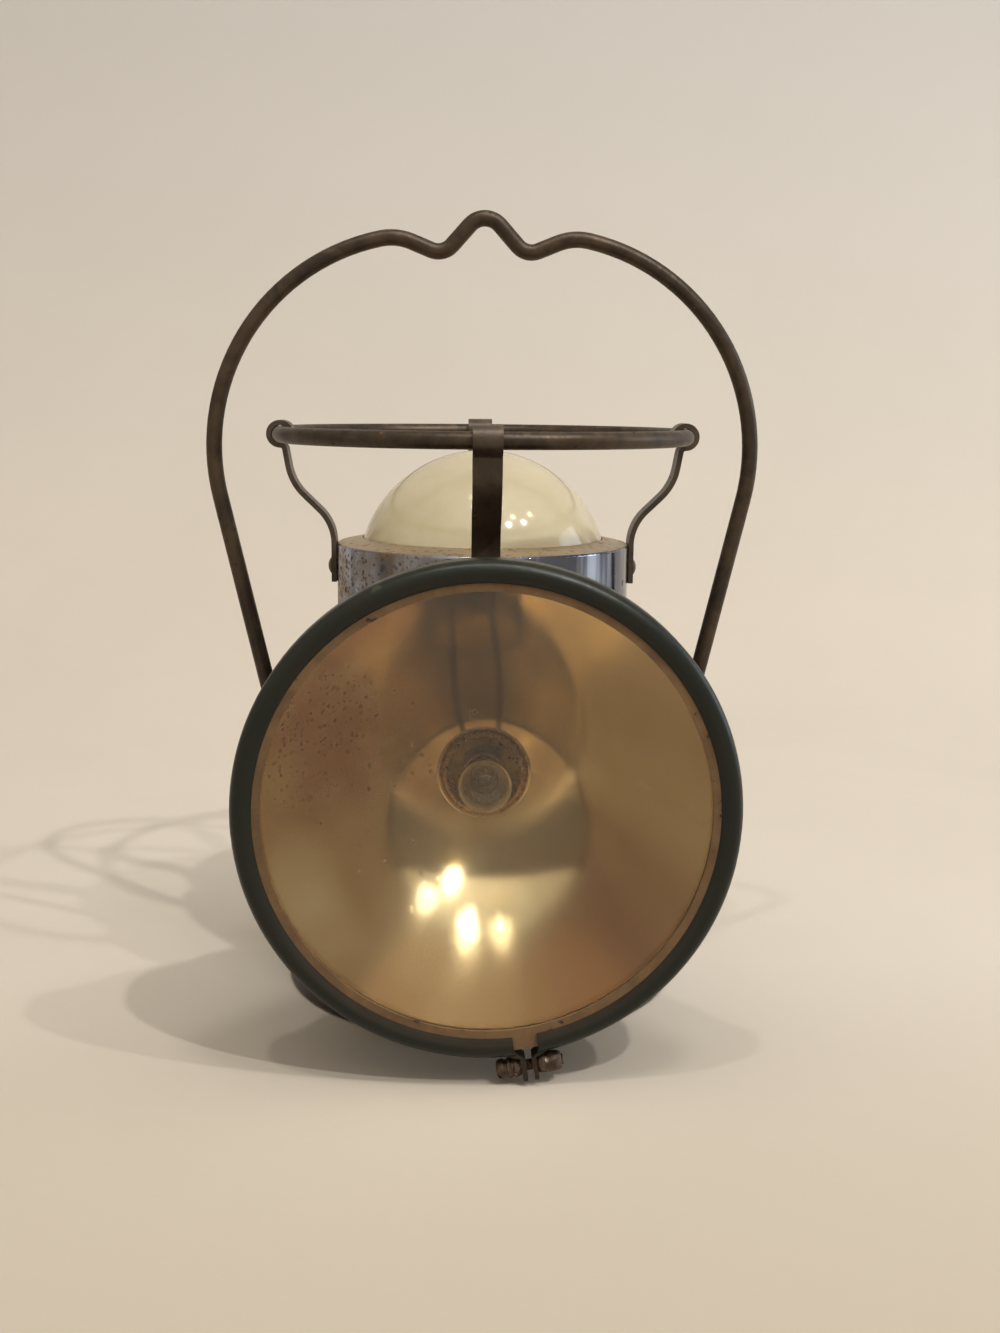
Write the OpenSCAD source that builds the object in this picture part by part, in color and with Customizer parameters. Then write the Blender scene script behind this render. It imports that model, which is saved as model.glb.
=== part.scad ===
// Railroad lantern: a battery case with a spotlight in front, a dome lamp on top, a wire guard and a bail.
// Millimetres. The lantern stands on z = 0 with its own axis on Z, and the spotlight faces -Y.

/* [Case] */
// Thickness of the case sheet
case_t = 1; // [0.8:0.1:1.2]
// Gap between the battery's back corners and the case
battery_gap = 4.13; // [3.5:0.01:6]
// Height of the sloping shoulder
shoulder_h = 17; // [15:0.5:20]
// Height of the neck inside the collar
neck_h = 10; // [9.5:0.5:12]
// Radius of the rolled bead that stops the base cup
stop_bead_r = 0.9; // [0.6:0.1:1.2]

/* [Base cup] */
// Height of the cup's wall
cup_h = 14; // [13:0.5:18]
// Thickness of the cup's wall and floor
cup_t = 1.2; // [1:0.1:1.5]
// Radius of the rolled bead around the foot
foot_bead_r = 1.6; // [1.3:0.1:2]
// Thickness of the pad under the battery
pad_t = 2.4; // [1.5:0.1:3]
// Radius of the twist lugs of the cup
cup_lug_r = 1.2; // [1:0.1:1.5]

/* [Collar and dome] */
// Gap between the dome's flange and the collar around it
collar_gap = 2.5; // [2:0.1:3.5]
// Thickness of the collar
collar_t = 1; // [0.8:0.1:1.2]
// Height of the collar's side
collar_h = 18.6; // [18:0.2:22]
// Rise of the collar's top from its edge to its hole
collar_rise = 1.5; // [1:0.1:2.5]
// Radius of the collar's twist lugs
collar_lug_r = 1; // [0.8:0.1:1.2]
// Radius of the dome where it comes through the collar
dome_r = 36; // [34:0.5:37]
// Height of the dome above the collar's hole
dome_h = 26.1; // [24:0.1:30]
// Thickness of the dome glass
dome_t = 2; // [1.6:0.1:2.4]
// Width of the dome's foot flange
dome_flange = 4.5; // [3.5:0.1:4.8]
// Thickness of the dome gasket
dome_gasket_t = 0.9; // [0.6:0.1:1.2]

/* [Guard] */
// Radius of the guard and bail wire
wire_r = 2.38; // [2:0.01:2.6]
// How far the middle of the guard ring's wire stands out from the collar
guard_out = 16.5; // [15.5:0.5:18]
// Height of the guard ring above the top edge of the collar
guard_rise = 32; // [30:0.5:36]
// Width of a strap
strap_w = 8; // [6:0.5:9]
// Thickness of a strap
strap_t = 1.5; // [1.2:0.1:1.8]
// Length of the flat foot of a strap against the collar
strap_foot = 11.5; // [10:0.5:13]
// Lean of the sloping part of a strap from upright
strap_lean = 46; // [42:1:50]
// Lean of the top of a strap from upright
strap_top_lean = 10; // [6:1:14]
// Radius of the lower bend of a strap
strap_low_bend = 14; // [12:0.5:15]
// Radius of the upper bend of a strap
strap_high_bend = 16; // [14:0.5:17]
// Radius of a strap rivet's shank
rivet_r = 1.5; // [1.2:0.1:1.8]
// Radius of a strap rivet's head
rivet_head_r = 2.6; // [2.4:0.1:3]

/* [Bail] */
// Distance from the top of the drum down to the bail's pivot
pivot_drop = 13; // [11:0.5:15]
// Radius of the hump in the middle of the bail
hump_bend = 6; // [5:0.5:7]
// Turn of half the hump
hump_turn = 48; // [44:1:52]
// Straight run from the hump to the dip
hump_run = 7.75; // [6:0.25:9]
// Radius of the dip beside the hump
dip_bend = 5.5; // [5:0.5:7]
// Turn of the dip
dip_turn = 70; // [66:1:74]
// Straight run from the dip to the shoulder
dip_run = 6; // [4:0.5:8]
// Radius of the bail's shoulder
bail_shoulder_bend = 16; // [14:0.5:18]
// Turn of the bail's shoulder
bail_shoulder_turn = 34; // [31:1:37]
// Gap between an ear's boss and the bend of the bail's end
bail_ear_gap = 0.18; // [0.15:0.01:0.6]
// Turn of the bail's large side curve
bail_side_turn = 90.9; // [89:0.1:92]
// How much shorter the bail's straight leg is than the rise from its pivot to the guard ring
bail_leg_short = 21.3; // [18:0.1:24]
// Radius of the bend into the ear
bail_foot_bend = 5; // [4:0.5:6]

/* [Bail ears] */
// Thickness of an ear plate
ear_plate_t = 1.2; // [1:0.1:1.5]
// Half the width of an ear plate
ear_plate_r = 6; // [5:0.5:7]
// Distance from the pivot to each rivet of an ear
ear_rivet_step = 9; // [8:0.5:10]
// Radius of the boss around the bail's end
ear_boss_r = 4.2; // [4:0.1:5]
// Length of the boss beyond the case
ear_boss_h = 3.6; // [3:0.1:4]

/* [Spotlight] */
// Gap between the table and the rim band
spot_lift = 7.9; // [7.7:0.1:12]
// Gap between the battery's front and the end of the spotlight's socket tube
lead_space = 4.5; // [4.2:0.1:6]
// Distance from the end of the socket tube to the middle of the reflector
tube_depth = 11.1; // [10.8:0.1:12]
// Depth of the reflector from its flange to its middle
reflector_depth = 45.4; // [44:0.1:47]
// Radius of the lens glass
lens_r = 62; // [61:0.5:64]
// Thickness of the lens glass
lens_t = 2.4; // [2:0.1:3]
// Width of the reflector's flat flange under the lens
reflector_flange = 4; // [3:0.5:4.5]
// Thickness of the reflector sheet
reflector_t = 0.6; // [0.5:0.1:0.8]
// Radius of the reflector's hole
reflector_hole_r = 11.1; // [10.6:0.1:12]
// Gap between the middle of the reflector and the back of the housing bowl
bowl_gap = 1.3; // [1.2:0.1:2.5]
// Thickness of the housing sheet
housing_t = 1; // [0.8:0.1:1.1]
// Thickness of each lip of the lens gasket
gasket_lip_t = 0.7; // [0.5:0.1:0.9]
// Thickness of the gasket around the lens edge
gasket_edge_t = 1.2; // [0.8:0.1:1.6]
// How far the gasket reaches in over the lens
gasket_reach = 4.4; // [4:0.1:5]
// Radius of the rim band's rounded front
rim_bead_r = 3.2; // [3:0.1:3.5]
// Thickness of the rim band's outer wall
rim_wall = 2.1; // [1.8:0.1:2.4]

/* [Clamp] */
// Angle of the clamp from the bottom of the rim
clamp_angle = 9.7; // [0:0.1:20]
// Width of the split in the rim band
split_w = 6.4; // [5.5:0.1:7]
// Distance from the rim band's edge to the screw
clamp_drop = 3.6; // [3.5:0.1:3.8]
// Reach of the ears below the rim band's edge
clamp_ear_reach = 6.9; // [6.7:0.1:7.1]
// Thickness of a clamp ear
clamp_ear_t = 1.2; // [1:0.1:1.3]
// Width of a clamp ear along the rim band
clamp_ear_w = 5.6; // [5:0.1:6]
// Gap between the two clamp ears at the screw
clamp_gap = 1.8; // [1.4:0.1:2.2]
// Radius of the clamp screw's shank
screw_r = 1.5; // [1.2:0.1:1.6]
// Radius of the clamp screw's head
screw_head_r = 2.7; // [2.4:0.1:2.8]
// Length of the clamp screw's head
screw_head_h = 6.7; // [5:0.1:7]
// Length of the clamp nut
clamp_nut_h = 6.4; // [5:0.1:7]

/* [Lamps] */
// Radius of a bulb's globe
bulb_r = 7.4; // [7:0.1:7.8]
// Length of a bulb from its tip to the top of its globe
bulb_h = 30.4; // [29:0.1:31.5]
// Radius of a bulb's screw cap
cap_r = 4.7; // [4.4:0.1:5]
// Length of a bulb's screw cap
cap_h = 10; // [9:0.5:11]
// Thickness of a socket's shell
socket_t = 0.6; // [0.5:0.1:0.8]
// Height of the top bulb's tip above the lower edge of the collar
top_lamp_lift = 10.1; // [9.6:0.1:10.8]
// Rise of the white top reflector
top_reflector_rise = 7; // [5:0.5:8]

/* [Battery] */
// Width and depth of the battery
battery_w = 67; // [65:0.5:68]
// Radius of the battery's corners
battery_corner_r = 8; // [6:0.5:10]
// Height of the battery without its terminals
battery_h = 97; // [94:0.5:98]
// How far the battery stands behind the lantern's axis
battery_shift = 10.2; // [9:0.1:11]
// Height of the contact board above the battery
board_lift = 8; // [7.5:0.5:9]
// Width of the contact board beyond its outer contact plate
board_edge = 0.4; // [0.2:0.1:2]
// Thickness of the contact board
board_t = 2; // [1.5:0.1:2.5]
// Length of the posts between the contact board and the neck plate
post_h = 7.2; // [6:0.1:9]
// Thickness of a spring terminal's wire
spring_wire = 1; // [0.8:0.1:1.2]
// Turns of a spring terminal
spring_turns = 3; // [2.5:0.5:3.5]

/* [Switch] */
// Distance from the top of the drum down to the switch
switch_drop = 15; // [13:0.5:19]
// Radius of the switch body
switch_r = 8; // [7:0.5:9]
// Radius of the threaded bush through the case
bush_r = 3.5; // [3:0.1:4]
// Radius of the switch spindle
spindle_r = 1.5; // [1.3:0.1:1.7]
// Radius of the knob
knob_r = 9; // [8:0.5:10]
// Length of the knob
knob_h = 8; // [7:0.5:10]
// Radius of a wire with its cover
lead_r = 0.8; // [0.6:0.1:0.9]

/* [Fits] */
// Gap between two fixed pieces that lie together
seat = 0.05; // [0.03:0.01:0.1]
// Radial running clearance of a pin or a screw
running = 0.05; // [0.03:0.01:0.08]
// Gap between a turning cover and the case inside it
cover_gap = 0.3; // [0.2:0.05:0.4]
// Angle that each bayonet turns through
bayonet_turn = 30; // [20:5:40]

/* [Hidden] */
$fn = 96;

// Cut and overlap lengths that only make a boolean clean
skin = 1;
lap = 0.03;
bend_scale = 0.994;

// The case is drawn around the battery, and its neck stands over the contact board
battery_z = cup_t + pad_t + 0.3;
battery_top_z = battery_z + battery_h;
battery_y = battery_shift;
battery_front = battery_w / 2 - battery_y;
battery_back = battery_y + battery_w / 2;
battery_flat = battery_w / 2 - battery_corner_r;
case_in_r = norm([battery_flat, battery_y + battery_flat]) + battery_corner_r + battery_gap;
case_r = case_in_r + case_t;
board_z = battery_top_z + board_lift;
post_z = board_z + board_t + seat;
neck_plate_z = post_z + post_h + seat;
neck_z = neck_plate_z - 2.2;
neck_top_z = neck_z + neck_h;
case_z = cup_t + cover_gap;
shoulder_z = neck_z - shoulder_h;
pivot_z = shoulder_z - pivot_drop;
switch_z = shoulder_z - switch_drop;

// The cup slides over the case, and its lugs run in slots in the case
cup_in_r = case_r + cover_gap;
cup_out_r = cup_in_r + cup_t;
cup_lug_z = cup_h - 2 * cup_lug_r - 2.4;
cup_lug_in_r = case_in_r + 0.3;
cup_lug_angles = [45, 165, 285];
stop_bead_z = cup_h + stop_bead_r + 0.6;

// The neck slides inside the collar, and the collar's lugs run in slots in the neck
rivet_foot = 0.6;
collar_in_r = dome_r + dome_flange + collar_gap;
collar_r = collar_in_r + collar_t;
neck_r = collar_in_r - rivet_foot - cover_gap - 0.2;
neck_t = 1.2;
neck_in_r = neck_r - neck_t;
collar_z = neck_z + 0.4;
collar_edge_z = collar_z + collar_h;
collar_hole_r = dome_r + cover_gap;
collar_hole_z = collar_edge_z + collar_rise;
collar_edge_r = 0.8;
collar_lug_z = collar_z + 3.4 + collar_lug_r;
collar_lug_in_r = neck_in_r + 0.55;
collar_lug_angles = [45, 165, 285];
slot_gap = 0.25;
run_past = 1;

// The dome is part of a sphere, held under the collar by its flange, a gasket and a snap ring
dome_sphere_r = (dome_r * dome_r + dome_h * dome_h) / (2 * dome_h);
dome_centre_z = collar_hole_z + dome_h - dome_sphere_r;
dome_flange_r = dome_r + dome_flange;
dome_flange_t = 2;
collar_drop = collar_rise / (collar_r - collar_hole_r);
collar_under_z = collar_hole_z - collar_t - collar_drop * (dome_flange_r - collar_hole_r) - seat;
dome_flange_z = collar_under_z - dome_gasket_t - 2 * seat;
retainer_t = 1.2;
retainer_in_r = dome_r + 2;
retainer_gap = 10;

// Straps follow a chain of runs and bends that ends curled around the guard ring
guard_z = collar_edge_z + guard_rise;
guard_r = collar_r + guard_out;
curl_bend = wire_r + 0.2 + strap_t / 2;
crook_bend = strap_t / 2 + 0.6;
curl_turn = 275;
strap_x = collar_r + 2 * seat + strap_t / 2;
crook_x = guard_r - crook_bend * cos(strap_top_lean);
crook_z = guard_z - curl_bend - crook_bend + crook_bend * sin(strap_top_lean);
strap_out = crook_x - strap_x;
strap_up = crook_z - (collar_edge_z - 0.5);
low_out = strap_low_bend * (1 - cos(strap_lean));
low_up = strap_low_bend * sin(strap_lean);
high_out = strap_high_bend * (cos(strap_top_lean) - cos(strap_lean));
high_up = strap_high_bend * (sin(strap_lean) - sin(strap_top_lean));
// The two straight runs close the gap that the bends leave, outwards and upwards
gap_out = strap_out - low_out - high_out;
gap_up = strap_up - low_up - high_up;
lean_cross = sin(strap_lean - strap_top_lean);
slope_run = (gap_out * cos(strap_top_lean) - gap_up * sin(strap_top_lean)) / lean_cross;
top_run = (gap_up * sin(strap_lean) - gap_out * cos(strap_lean)) / lean_cross;
strap_steps = [
    [strap_foot], [strap_low_bend, -strap_lean], [slope_run], [strap_high_bend, strap_lean - strap_top_lean],
    [top_run], [crook_bend, strap_top_lean - 90], [0], [curl_bend, curl_turn]
];
strap_foot_z = collar_edge_z - 0.5 - strap_foot;
strap_angles = [270, 90, 180, 0];
rivet_z = strap_foot_z + strap_foot * 0.4;
rivet_head_h = 1.2;
rivet_edge = 0.2;

// One side of the bail, from the side of its hump to the bend into its ear
bail_leg = guard_z - pivot_z - bail_leg_short;
bail_foot_turn = 180 - hump_turn + dip_turn - bail_shoulder_turn - bail_side_turn;
function bail_bent(side_bend) = [
    [hump_run], [dip_bend, dip_turn], [dip_run], [bail_shoulder_bend, -bail_shoulder_turn], [0],
    [side_bend, -bail_side_turn], [bail_leg], [bail_foot_bend, -bail_foot_turn]
];
function bail_foot_x(side_bend) = path_end(concat([[hump_bend, -hump_turn]], bail_bent(side_bend)))[0];
// The large side curve is as wide as brings the bail down just outside its ears
bail_foot = case_r + ear_boss_h + bail_ear_gap;
bail_side_bend = (bail_foot - bail_foot_x(0)) / (bail_foot_x(1) - bail_foot_x(0));
bail_end_x = case_r + 0.3;
bail_side = concat(bail_bent(bail_side_bend), [[bail_foot - bail_end_x]]);
bail_other_side = [for (i = [len(bail_side) - 1:-1:0]) bail_side[i]];
bail_steps = concat(bail_other_side, [[hump_bend, -2 * hump_turn]], bail_side);

// Bail ears
ear_in_r = case_r + seat;
ear_out_r = ear_in_r + ear_plate_t;
ear_rivet_r = 1.3;
ear_rivet_head_r = 2.4;
ear_rivet_head_h = 1;

// The spotlight's depths are distances in front of the lantern's axis, from the battery forward
tube_back_d = battery_front + lead_space;
vertex_d = tube_back_d + tube_depth;
spot_reach = vertex_d + reflector_depth;
reflector_open_r = lens_r - reflector_flange;
focal_length = reflector_open_r * reflector_open_r / (4 * reflector_depth);
housing_front_d = spot_reach - reflector_t - seat;
housing_flange_t = 1.1;
bowl_front_r = lens_r;
bowl_depth = housing_front_d - (vertex_d - bowl_gap);
bowl_r = (bowl_front_r * bowl_front_r + bowl_depth * bowl_depth) / (2 * bowl_depth);
bowl_centre_d = vertex_d - bowl_gap + bowl_r;
gasket_back_d = spot_reach + seat;
lens_d = gasket_back_d + gasket_lip_t + seat;
gasket_front_d = lens_d + lens_t + seat + gasket_lip_t;
gasket_out_r = lens_r + seat + gasket_edge_t;
stack_r = gasket_out_r + 2 * seat;
rim_r = stack_r + rim_wall;
rim_bead_d = gasket_front_d + seat + 1.3 - rim_bead_r;
rim_lip_t = 1;
rim_lip_r = (bowl_front_r + gasket_out_r) / 2;
rim_back_d = housing_front_d - housing_flange_t - seat;
spot_z = rim_r + spot_lift;

// The socket stands in a short tube behind the reflector
tube_r = reflector_hole_r + 2.9;
tube_floor_d = tube_back_d + housing_t;
socket_in_r = cap_r + 0.4;
socket_out_r = socket_in_r + socket_t;
spot_tip_d = tube_back_d + 5.5;
socket_depth = cap_h - 2;
socket_flange_t = 0.8;
ring_out_r = reflector_hole_r - 0.1;
ring_t = 0.8;
ring_bead_r = 0.8;
ring_front_d = vertex_d + ring_out_r * ring_out_r / (4 * focal_length) + ring_bead_r + 4 * seat;
reflector_bead_place = 1.9;
reflector_bead_r = 0.6;
reflector_steps = 28;

// Clamp, measured from the spotlight's axis
clamp_ear_end = rim_r + clamp_ear_reach;
clamp_screw_rad = rim_r + clamp_drop;
clamp_d = (rim_back_d + gasket_front_d) / 2;
clamp_half = clamp_gap / 2;
clamp_face = clamp_half + clamp_ear_t + seat;
shank_end = clamp_face + clamp_nut_h + 0.5;
slot_w = 1;
slot_depth = 1.2;

// Top lamp
top_tip_z = collar_z + top_lamp_lift;
top_flange_z = neck_top_z + seat;
top_flange_r = collar_lug_in_r - 0.1;
top_dish_r = dome_r - 1;
top_hole_r = socket_out_r + 0.2;
neck_plate_t = 1;
neck_plate_r = neck_in_r - seat;
filament_r = 0.25;
top_socket_flange_r = 9;
stub_r = 2.8;
stub_out = 0.8;
contact_r = 1.2;
contact_out = 1.6;
cap_floor = 3;

// Battery and contact board
lid_t = 1;
plate_t = 0.5;
plate_r = 6.5;
plate_tab = 5;
spring_base_r = 8;
spring_tip_r = 4;
spring_places = [[0, battery_y], [battery_w * 0.3, battery_y + battery_w * 0.24]];
board_r = norm(spring_places[1]) + plate_r + board_edge;
spring_h = board_z - plate_t - seat - battery_top_z - spring_wire;
post_r = 2;
post_place_r = 30;
post_angles = [150, 220, 330];
board_screw_r = 1.2;
board_screw_head_r = 2.2;
board_screw_head_h = 1.2;

// Switch
switch_front = case_in_r - switch_r * switch_r / (2 * case_in_r) - 0.3;
switch_back = battery_back + 1;
bush_end = case_r + 3.6;
switch_nut_r = 5.8;
switch_nut_y = case_r + seat;
switch_nut_h = 2.4;
knob_y = bush_end + 0.4;
knob_end = knob_y + knob_h;
lug_w = 3;
lug_h = 2.4;
lug_t = 0.5;
lug_angles = [130, 90, 50];
lug_y = (switch_back + switch_front) / 2;
spindle_from = switch_back + 2;
grub_r = 1;

// The path of a chain of runs [length] and bends [radius, turn]: [along, up, heading] at its end
function advance(at, step) =
    let (straight = len(step) == 1,
         along = straight ? step[0] : step[0] * sin(abs(step[1])),
         up = straight ? 0 : sign(step[1]) * step[0] * (1 - cos(step[1])),
         turn = straight ? 0 : step[1],
         c = cos(at[2]),
         s = sin(at[2]))
    [at[0] + along * c - up * s, at[1] + along * s + up * c, at[2] + turn];
function path_end(steps, i = 0, at = [0, 0, 0]) =
    i == len(steps) ? at : path_end(steps, i + 1, advance(at, steps[i]));

// Sweeps its child outline along a chain of runs and bends in the XZ plane, from the origin along +X.
// A run laps over both neighbours, and a bend is a hair thinner, so that the chain joins into one solid.
module bent(steps, i = 0) {
    if (i < len(steps)) {
        step = steps[i];
        if (len(step) == 1) {
            rotate([90, 0, 90]) translate([0, 0, -lap]) linear_extrude(step[0] + 2 * lap) children();
            translate([step[0], 0, 0]) bent(steps, i + 1) children();
        } else {
            side = sign(step[1]);
            rotate([side < 0 ? 180 : 0, 0, 0])
                translate([0, 0, step[0]])
                    rotate([90, 0, 0])
                        rotate(-90)
                            rotate_extrude(angle = abs(step[1]))
                                translate([step[0], 0])
                                    rotate(90)
                                        scale(bend_scale) children();
            translate([0, 0, side * step[0]])
                rotate([0, -step[1], 0])
                    translate([0, 0, -side * step[0]])
                        bent(steps, i + 1) children();
        }
    }
}

// Sweeps a round tube of flat sides along a list of points
function unit(v) = v / norm(v);
function heading_at(path, i) = unit(path[min(i + 1, len(path) - 1)] - path[max(i - 1, 0)]);
function sides_along(path, last, i = 0) =
    i == len(path) ? [] :
    let (ahead = heading_at(path, i), out = unit(last - (last * ahead) * ahead))
    concat([out], sides_along(path, out, i + 1));
module swept(path, r, sides, first_side) {
    outs = sides_along(path, first_side);
    last = len(path) - 1;
    points = [for (i = [0:last]) let (across = cross(heading_at(path, i), outs[i]))
        for (k = [0:sides - 1]) let (a = 360 * k / sides) path[i] + r * (cos(a) * outs[i] + sin(a) * across)];
    walls = [for (i = [0:last - 1]) for (k = [0:sides - 1]) let (next = (k + 1) % sides)
        [i * sides + k, (i + 1) * sides + k, (i + 1) * sides + next, i * sides + next]];
    start = [for (k = [0:sides - 1]) k];
    finish = [for (k = [sides - 1:-1:0]) last * sides + k];
    polyhedron(points, concat([start], walls, [finish]));
}

// A smooth curve through a few points, with a number of steps between each two
function between(a, b, c, d, t) =
    (2 * b + (c - a) * t + (2 * a - 5 * b + 4 * c - d) * t * t + (3 * b - a - 3 * c + d) * t * t * t) / 2;
function curve(p, steps) = concat(
    [for (i = [0:len(p) - 2]) for (s = [0:steps - 1])
        between(p[max(i - 1, 0)], p[i], p[i + 1], p[min(i + 2, len(p) - 1)], s / steps)],
    [p[len(p) - 1]]);

// The spotlight's frame: +Z to the front along the spotlight's axis, +Y up
module at_spot() translate([0, 0, spot_z]) rotate([90, 0, 0]) children();
// The clamp's frame: as the spotlight's, turned so that the clamp is straight down
module at_clamp() at_spot() rotate(clamp_angle) children();
// The screw's frame: +Z along the screw, towards the nut
module at_screw() at_clamp() translate([0, -clamp_screw_rad, clamp_d]) rotate([0, 90, 0]) children();
// A plain tube and a ring of round wire, both about Z
module tube(outer, inner, from, length) {
    translate([0, 0, from]) difference() {
        cylinder(r = outer, h = length);
        translate([0, 0, -skin]) cylinder(r = inner, h = length + 2 * skin);
    }
}
module wire_ring(radius, r, at) translate([0, 0, at]) rotate_extrude() translate([radius, 0]) circle(r);
// A pin along +X that starts at a distance from the Z axis
module radial_pin(r, from, to, at) translate([from, 0, at]) rotate([0, 90, 0]) cylinder(r = r, h = to - from);

// One bayonet slot for each lug: a level run that the lug turns along, and a way in from an open edge.
// The run ends a little past the way in.
module bayonet_slots(angles, lug_r, lug_z, inner, outer, edge_z) {
    half = lug_r + slot_gap;
    half_angle = asin(half / inner);
    run = bayonet_turn + 2 * half_angle + run_past;
    from = min(lug_z, edge_z - skin);
    to = max(lug_z, edge_z + skin);
    wall = outer - inner + 2 * skin;
    for (a = angles) {
        rotate(a - half_angle) translate([0, 0, lug_z - half])
            rotate_extrude(angle = run) translate([inner - skin, 0]) square([wall, 2 * half]);
        rotate(a + bayonet_turn) translate([inner - skin, -half, from]) cube([wall, 2 * half, to - from]);
    }
}

module case_shell() {
    color([0.16, 0.18, 0.15]) difference() {
        union() {
            rotate_extrude() polygon([
                [case_r, case_z], [case_r, shoulder_z], [neck_r, neck_z], [neck_r, neck_top_z],
                [neck_in_r, neck_top_z], [neck_in_r, neck_z - 0.4 * case_t],
                [case_in_r, shoulder_z - 0.4 * case_t], [case_in_r, case_z]
            ]);
            wire_ring(case_r, stop_bead_r, stop_bead_z);
        }
        at_spot() translate([0, 0, bowl_centre_d]) sphere(bowl_r + seat);
        bayonet_slots(cup_lug_angles, cup_lug_r, cup_lug_z, case_in_r, case_r, case_z);
        bayonet_slots(collar_lug_angles, collar_lug_r, collar_lug_z, neck_in_r, neck_r, neck_top_z);
        for (side = [0, 180]) for (step = [-ear_rivet_step, ear_rivet_step])
            rotate(side) radial_pin(ear_rivet_r + seat, case_in_r - skin, case_r + skin, pivot_z + step);
        rotate(90) radial_pin(bush_r + seat, case_in_r - 2 * skin, case_r + skin, switch_z);
    }
}

module base_cup() {
    color([0.13, 0.1, 0.08]) {
        rotate_extrude() difference() {
            union() {
                square([cup_out_r, cup_h]);
                translate([cup_out_r, foot_bead_r]) circle(foot_bead_r);
            }
            translate([0, cup_t]) square([cup_in_r, cup_h]);
        }
        for (a = cup_lug_angles) rotate(a)
            radial_pin(cup_lug_r, cup_lug_in_r, cup_out_r - cup_t / 2, cup_lug_z);
    }
}

module base_pad() {
    color([0.35, 0.3, 0.24]) translate([0, 0, cup_t + seat]) cylinder(r = case_in_r - 0.6, h = pad_t - seat);
}

// One ear at +X: a curved plate with two rivet holes and a bored boss
module bail_ear() {
    color([0.2, 0.19, 0.15]) difference() {
        union() {
            intersection() {
                tube(ear_out_r, ear_in_r, pivot_z - 2 * ear_rivet_step, 4 * ear_rivet_step);
                union() {
                    translate([0, -ear_plate_r, pivot_z - ear_rivet_step])
                        cube([ear_out_r + skin, 2 * ear_plate_r, 2 * ear_rivet_step]);
                    for (step = [-ear_rivet_step, ear_rivet_step])
                        radial_pin(ear_plate_r, 0, ear_out_r + skin, pivot_z + step);
                }
            }
            radial_pin(ear_boss_r, ear_in_r + ear_plate_t / 2, case_r + ear_boss_h, pivot_z);
        }
        radial_pin(wire_r + running, case_r - 2 * skin, case_r + ear_boss_h + skin, pivot_z);
        for (step = [-ear_rivet_step, ear_rivet_step])
            radial_pin(ear_rivet_r + seat, case_r - 2 * skin, ear_out_r + 2 * skin, pivot_z + step);
    }
}

module bail_ear_right() bail_ear();
module bail_ear_left() rotate(180) bail_ear();

module ear_rivets() {
    inner = case_in_r - 2 * seat;
    outer = ear_out_r + seat;
    color([0.3, 0.27, 0.22]) for (side = [0, 180]) for (step = [-ear_rivet_step, ear_rivet_step])
        rotate(side) {
            radial_pin(ear_rivet_r, inner - ear_rivet_head_h, outer + seat, pivot_z + step);
            radial_pin(ear_rivet_head_r, inner - ear_rivet_head_h, inner, pivot_z + step);
            radial_pin(ear_rivet_head_r, outer, outer + ear_rivet_head_h, pivot_z + step);
        }
}

module neck_plate() {
    color([0.6, 0.6, 0.58]) difference() {
        translate([0, 0, neck_plate_z]) cylinder(r = neck_plate_r, h = neck_plate_t);
        translate([0, 0, neck_plate_z - skin]) cylinder(r = stub_r + 2 * seat, h = neck_plate_t + 2 * skin);
    }
}

module spotlight_housing() {
    hole_r = tube_r - housing_t;
    color([0.16, 0.19, 0.16]) at_spot() difference() {
        union() {
            difference() {
                translate([0, 0, bowl_centre_d]) sphere(bowl_r);
                translate([0, 0, housing_front_d]) cylinder(r = 2 * bowl_r, h = 2 * bowl_r);
            }
            translate([0, 0, tube_back_d]) cylinder(r = tube_r, h = vertex_d - tube_back_d + 2);
            translate([0, 0, housing_front_d - housing_flange_t])
                cylinder(r = gasket_out_r, h = housing_flange_t);
        }
        translate([0, 0, bowl_centre_d]) sphere(bowl_r - housing_t);
        translate([0, 0, tube_floor_d]) cylinder(r = hole_r, h = vertex_d - tube_floor_d + 4);
        translate([0, 0, tube_back_d - skin]) cylinder(r = stub_r + seat, h = housing_t + 2 * skin);
    }
}

module reflector() {
    rows = [for (i = [0:reflector_steps])
        let (r = reflector_hole_r + (reflector_open_r - reflector_hole_r) * i / reflector_steps)
        [r, vertex_d + r * r / (4 * focal_length), sqrt(1 + pow(r / (2 * focal_length), 2))]];
    bead = reflector_hole_r + reflector_bead_place;
    edge_r = gasket_out_r - seat;
    back = spot_reach - reflector_t;
    last = rows[reflector_steps];
    color([0.69, 0.55, 0.33]) at_spot() {
        rotate_extrude() polygon(concat(
            [for (row = rows) [row[0], row[1]]],
            [[edge_r, spot_reach], [edge_r, back], [last[0] + 0.4, back]],
            [for (i = [reflector_steps:-1:0]) [rows[i][0], rows[i][1] - reflector_t * rows[i][2]]]));
        wire_ring(bead, reflector_bead_r, vertex_d + bead * bead / (4 * focal_length));
    }
}

module socket_ring() {
    color([0.4, 0.28, 0.18]) at_spot() {
        back = tube_floor_d + socket_flange_t + 2 * seat;
        tube(ring_out_r, ring_out_r - ring_t, back, ring_front_d - back);
        wire_ring(ring_out_r, ring_bead_r, ring_front_d);
    }
}

module lens_glass() {
    bevel = 0.5;
    color([0.8, 0.82, 0.75, 0.35]) at_spot() translate([0, 0, lens_d]) rotate_extrude() polygon([
        [0, 0], [lens_r - bevel, 0], [lens_r, bevel], [lens_r, lens_t - bevel], [lens_r - bevel, lens_t],
        [0, lens_t]
    ]);
}

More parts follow.
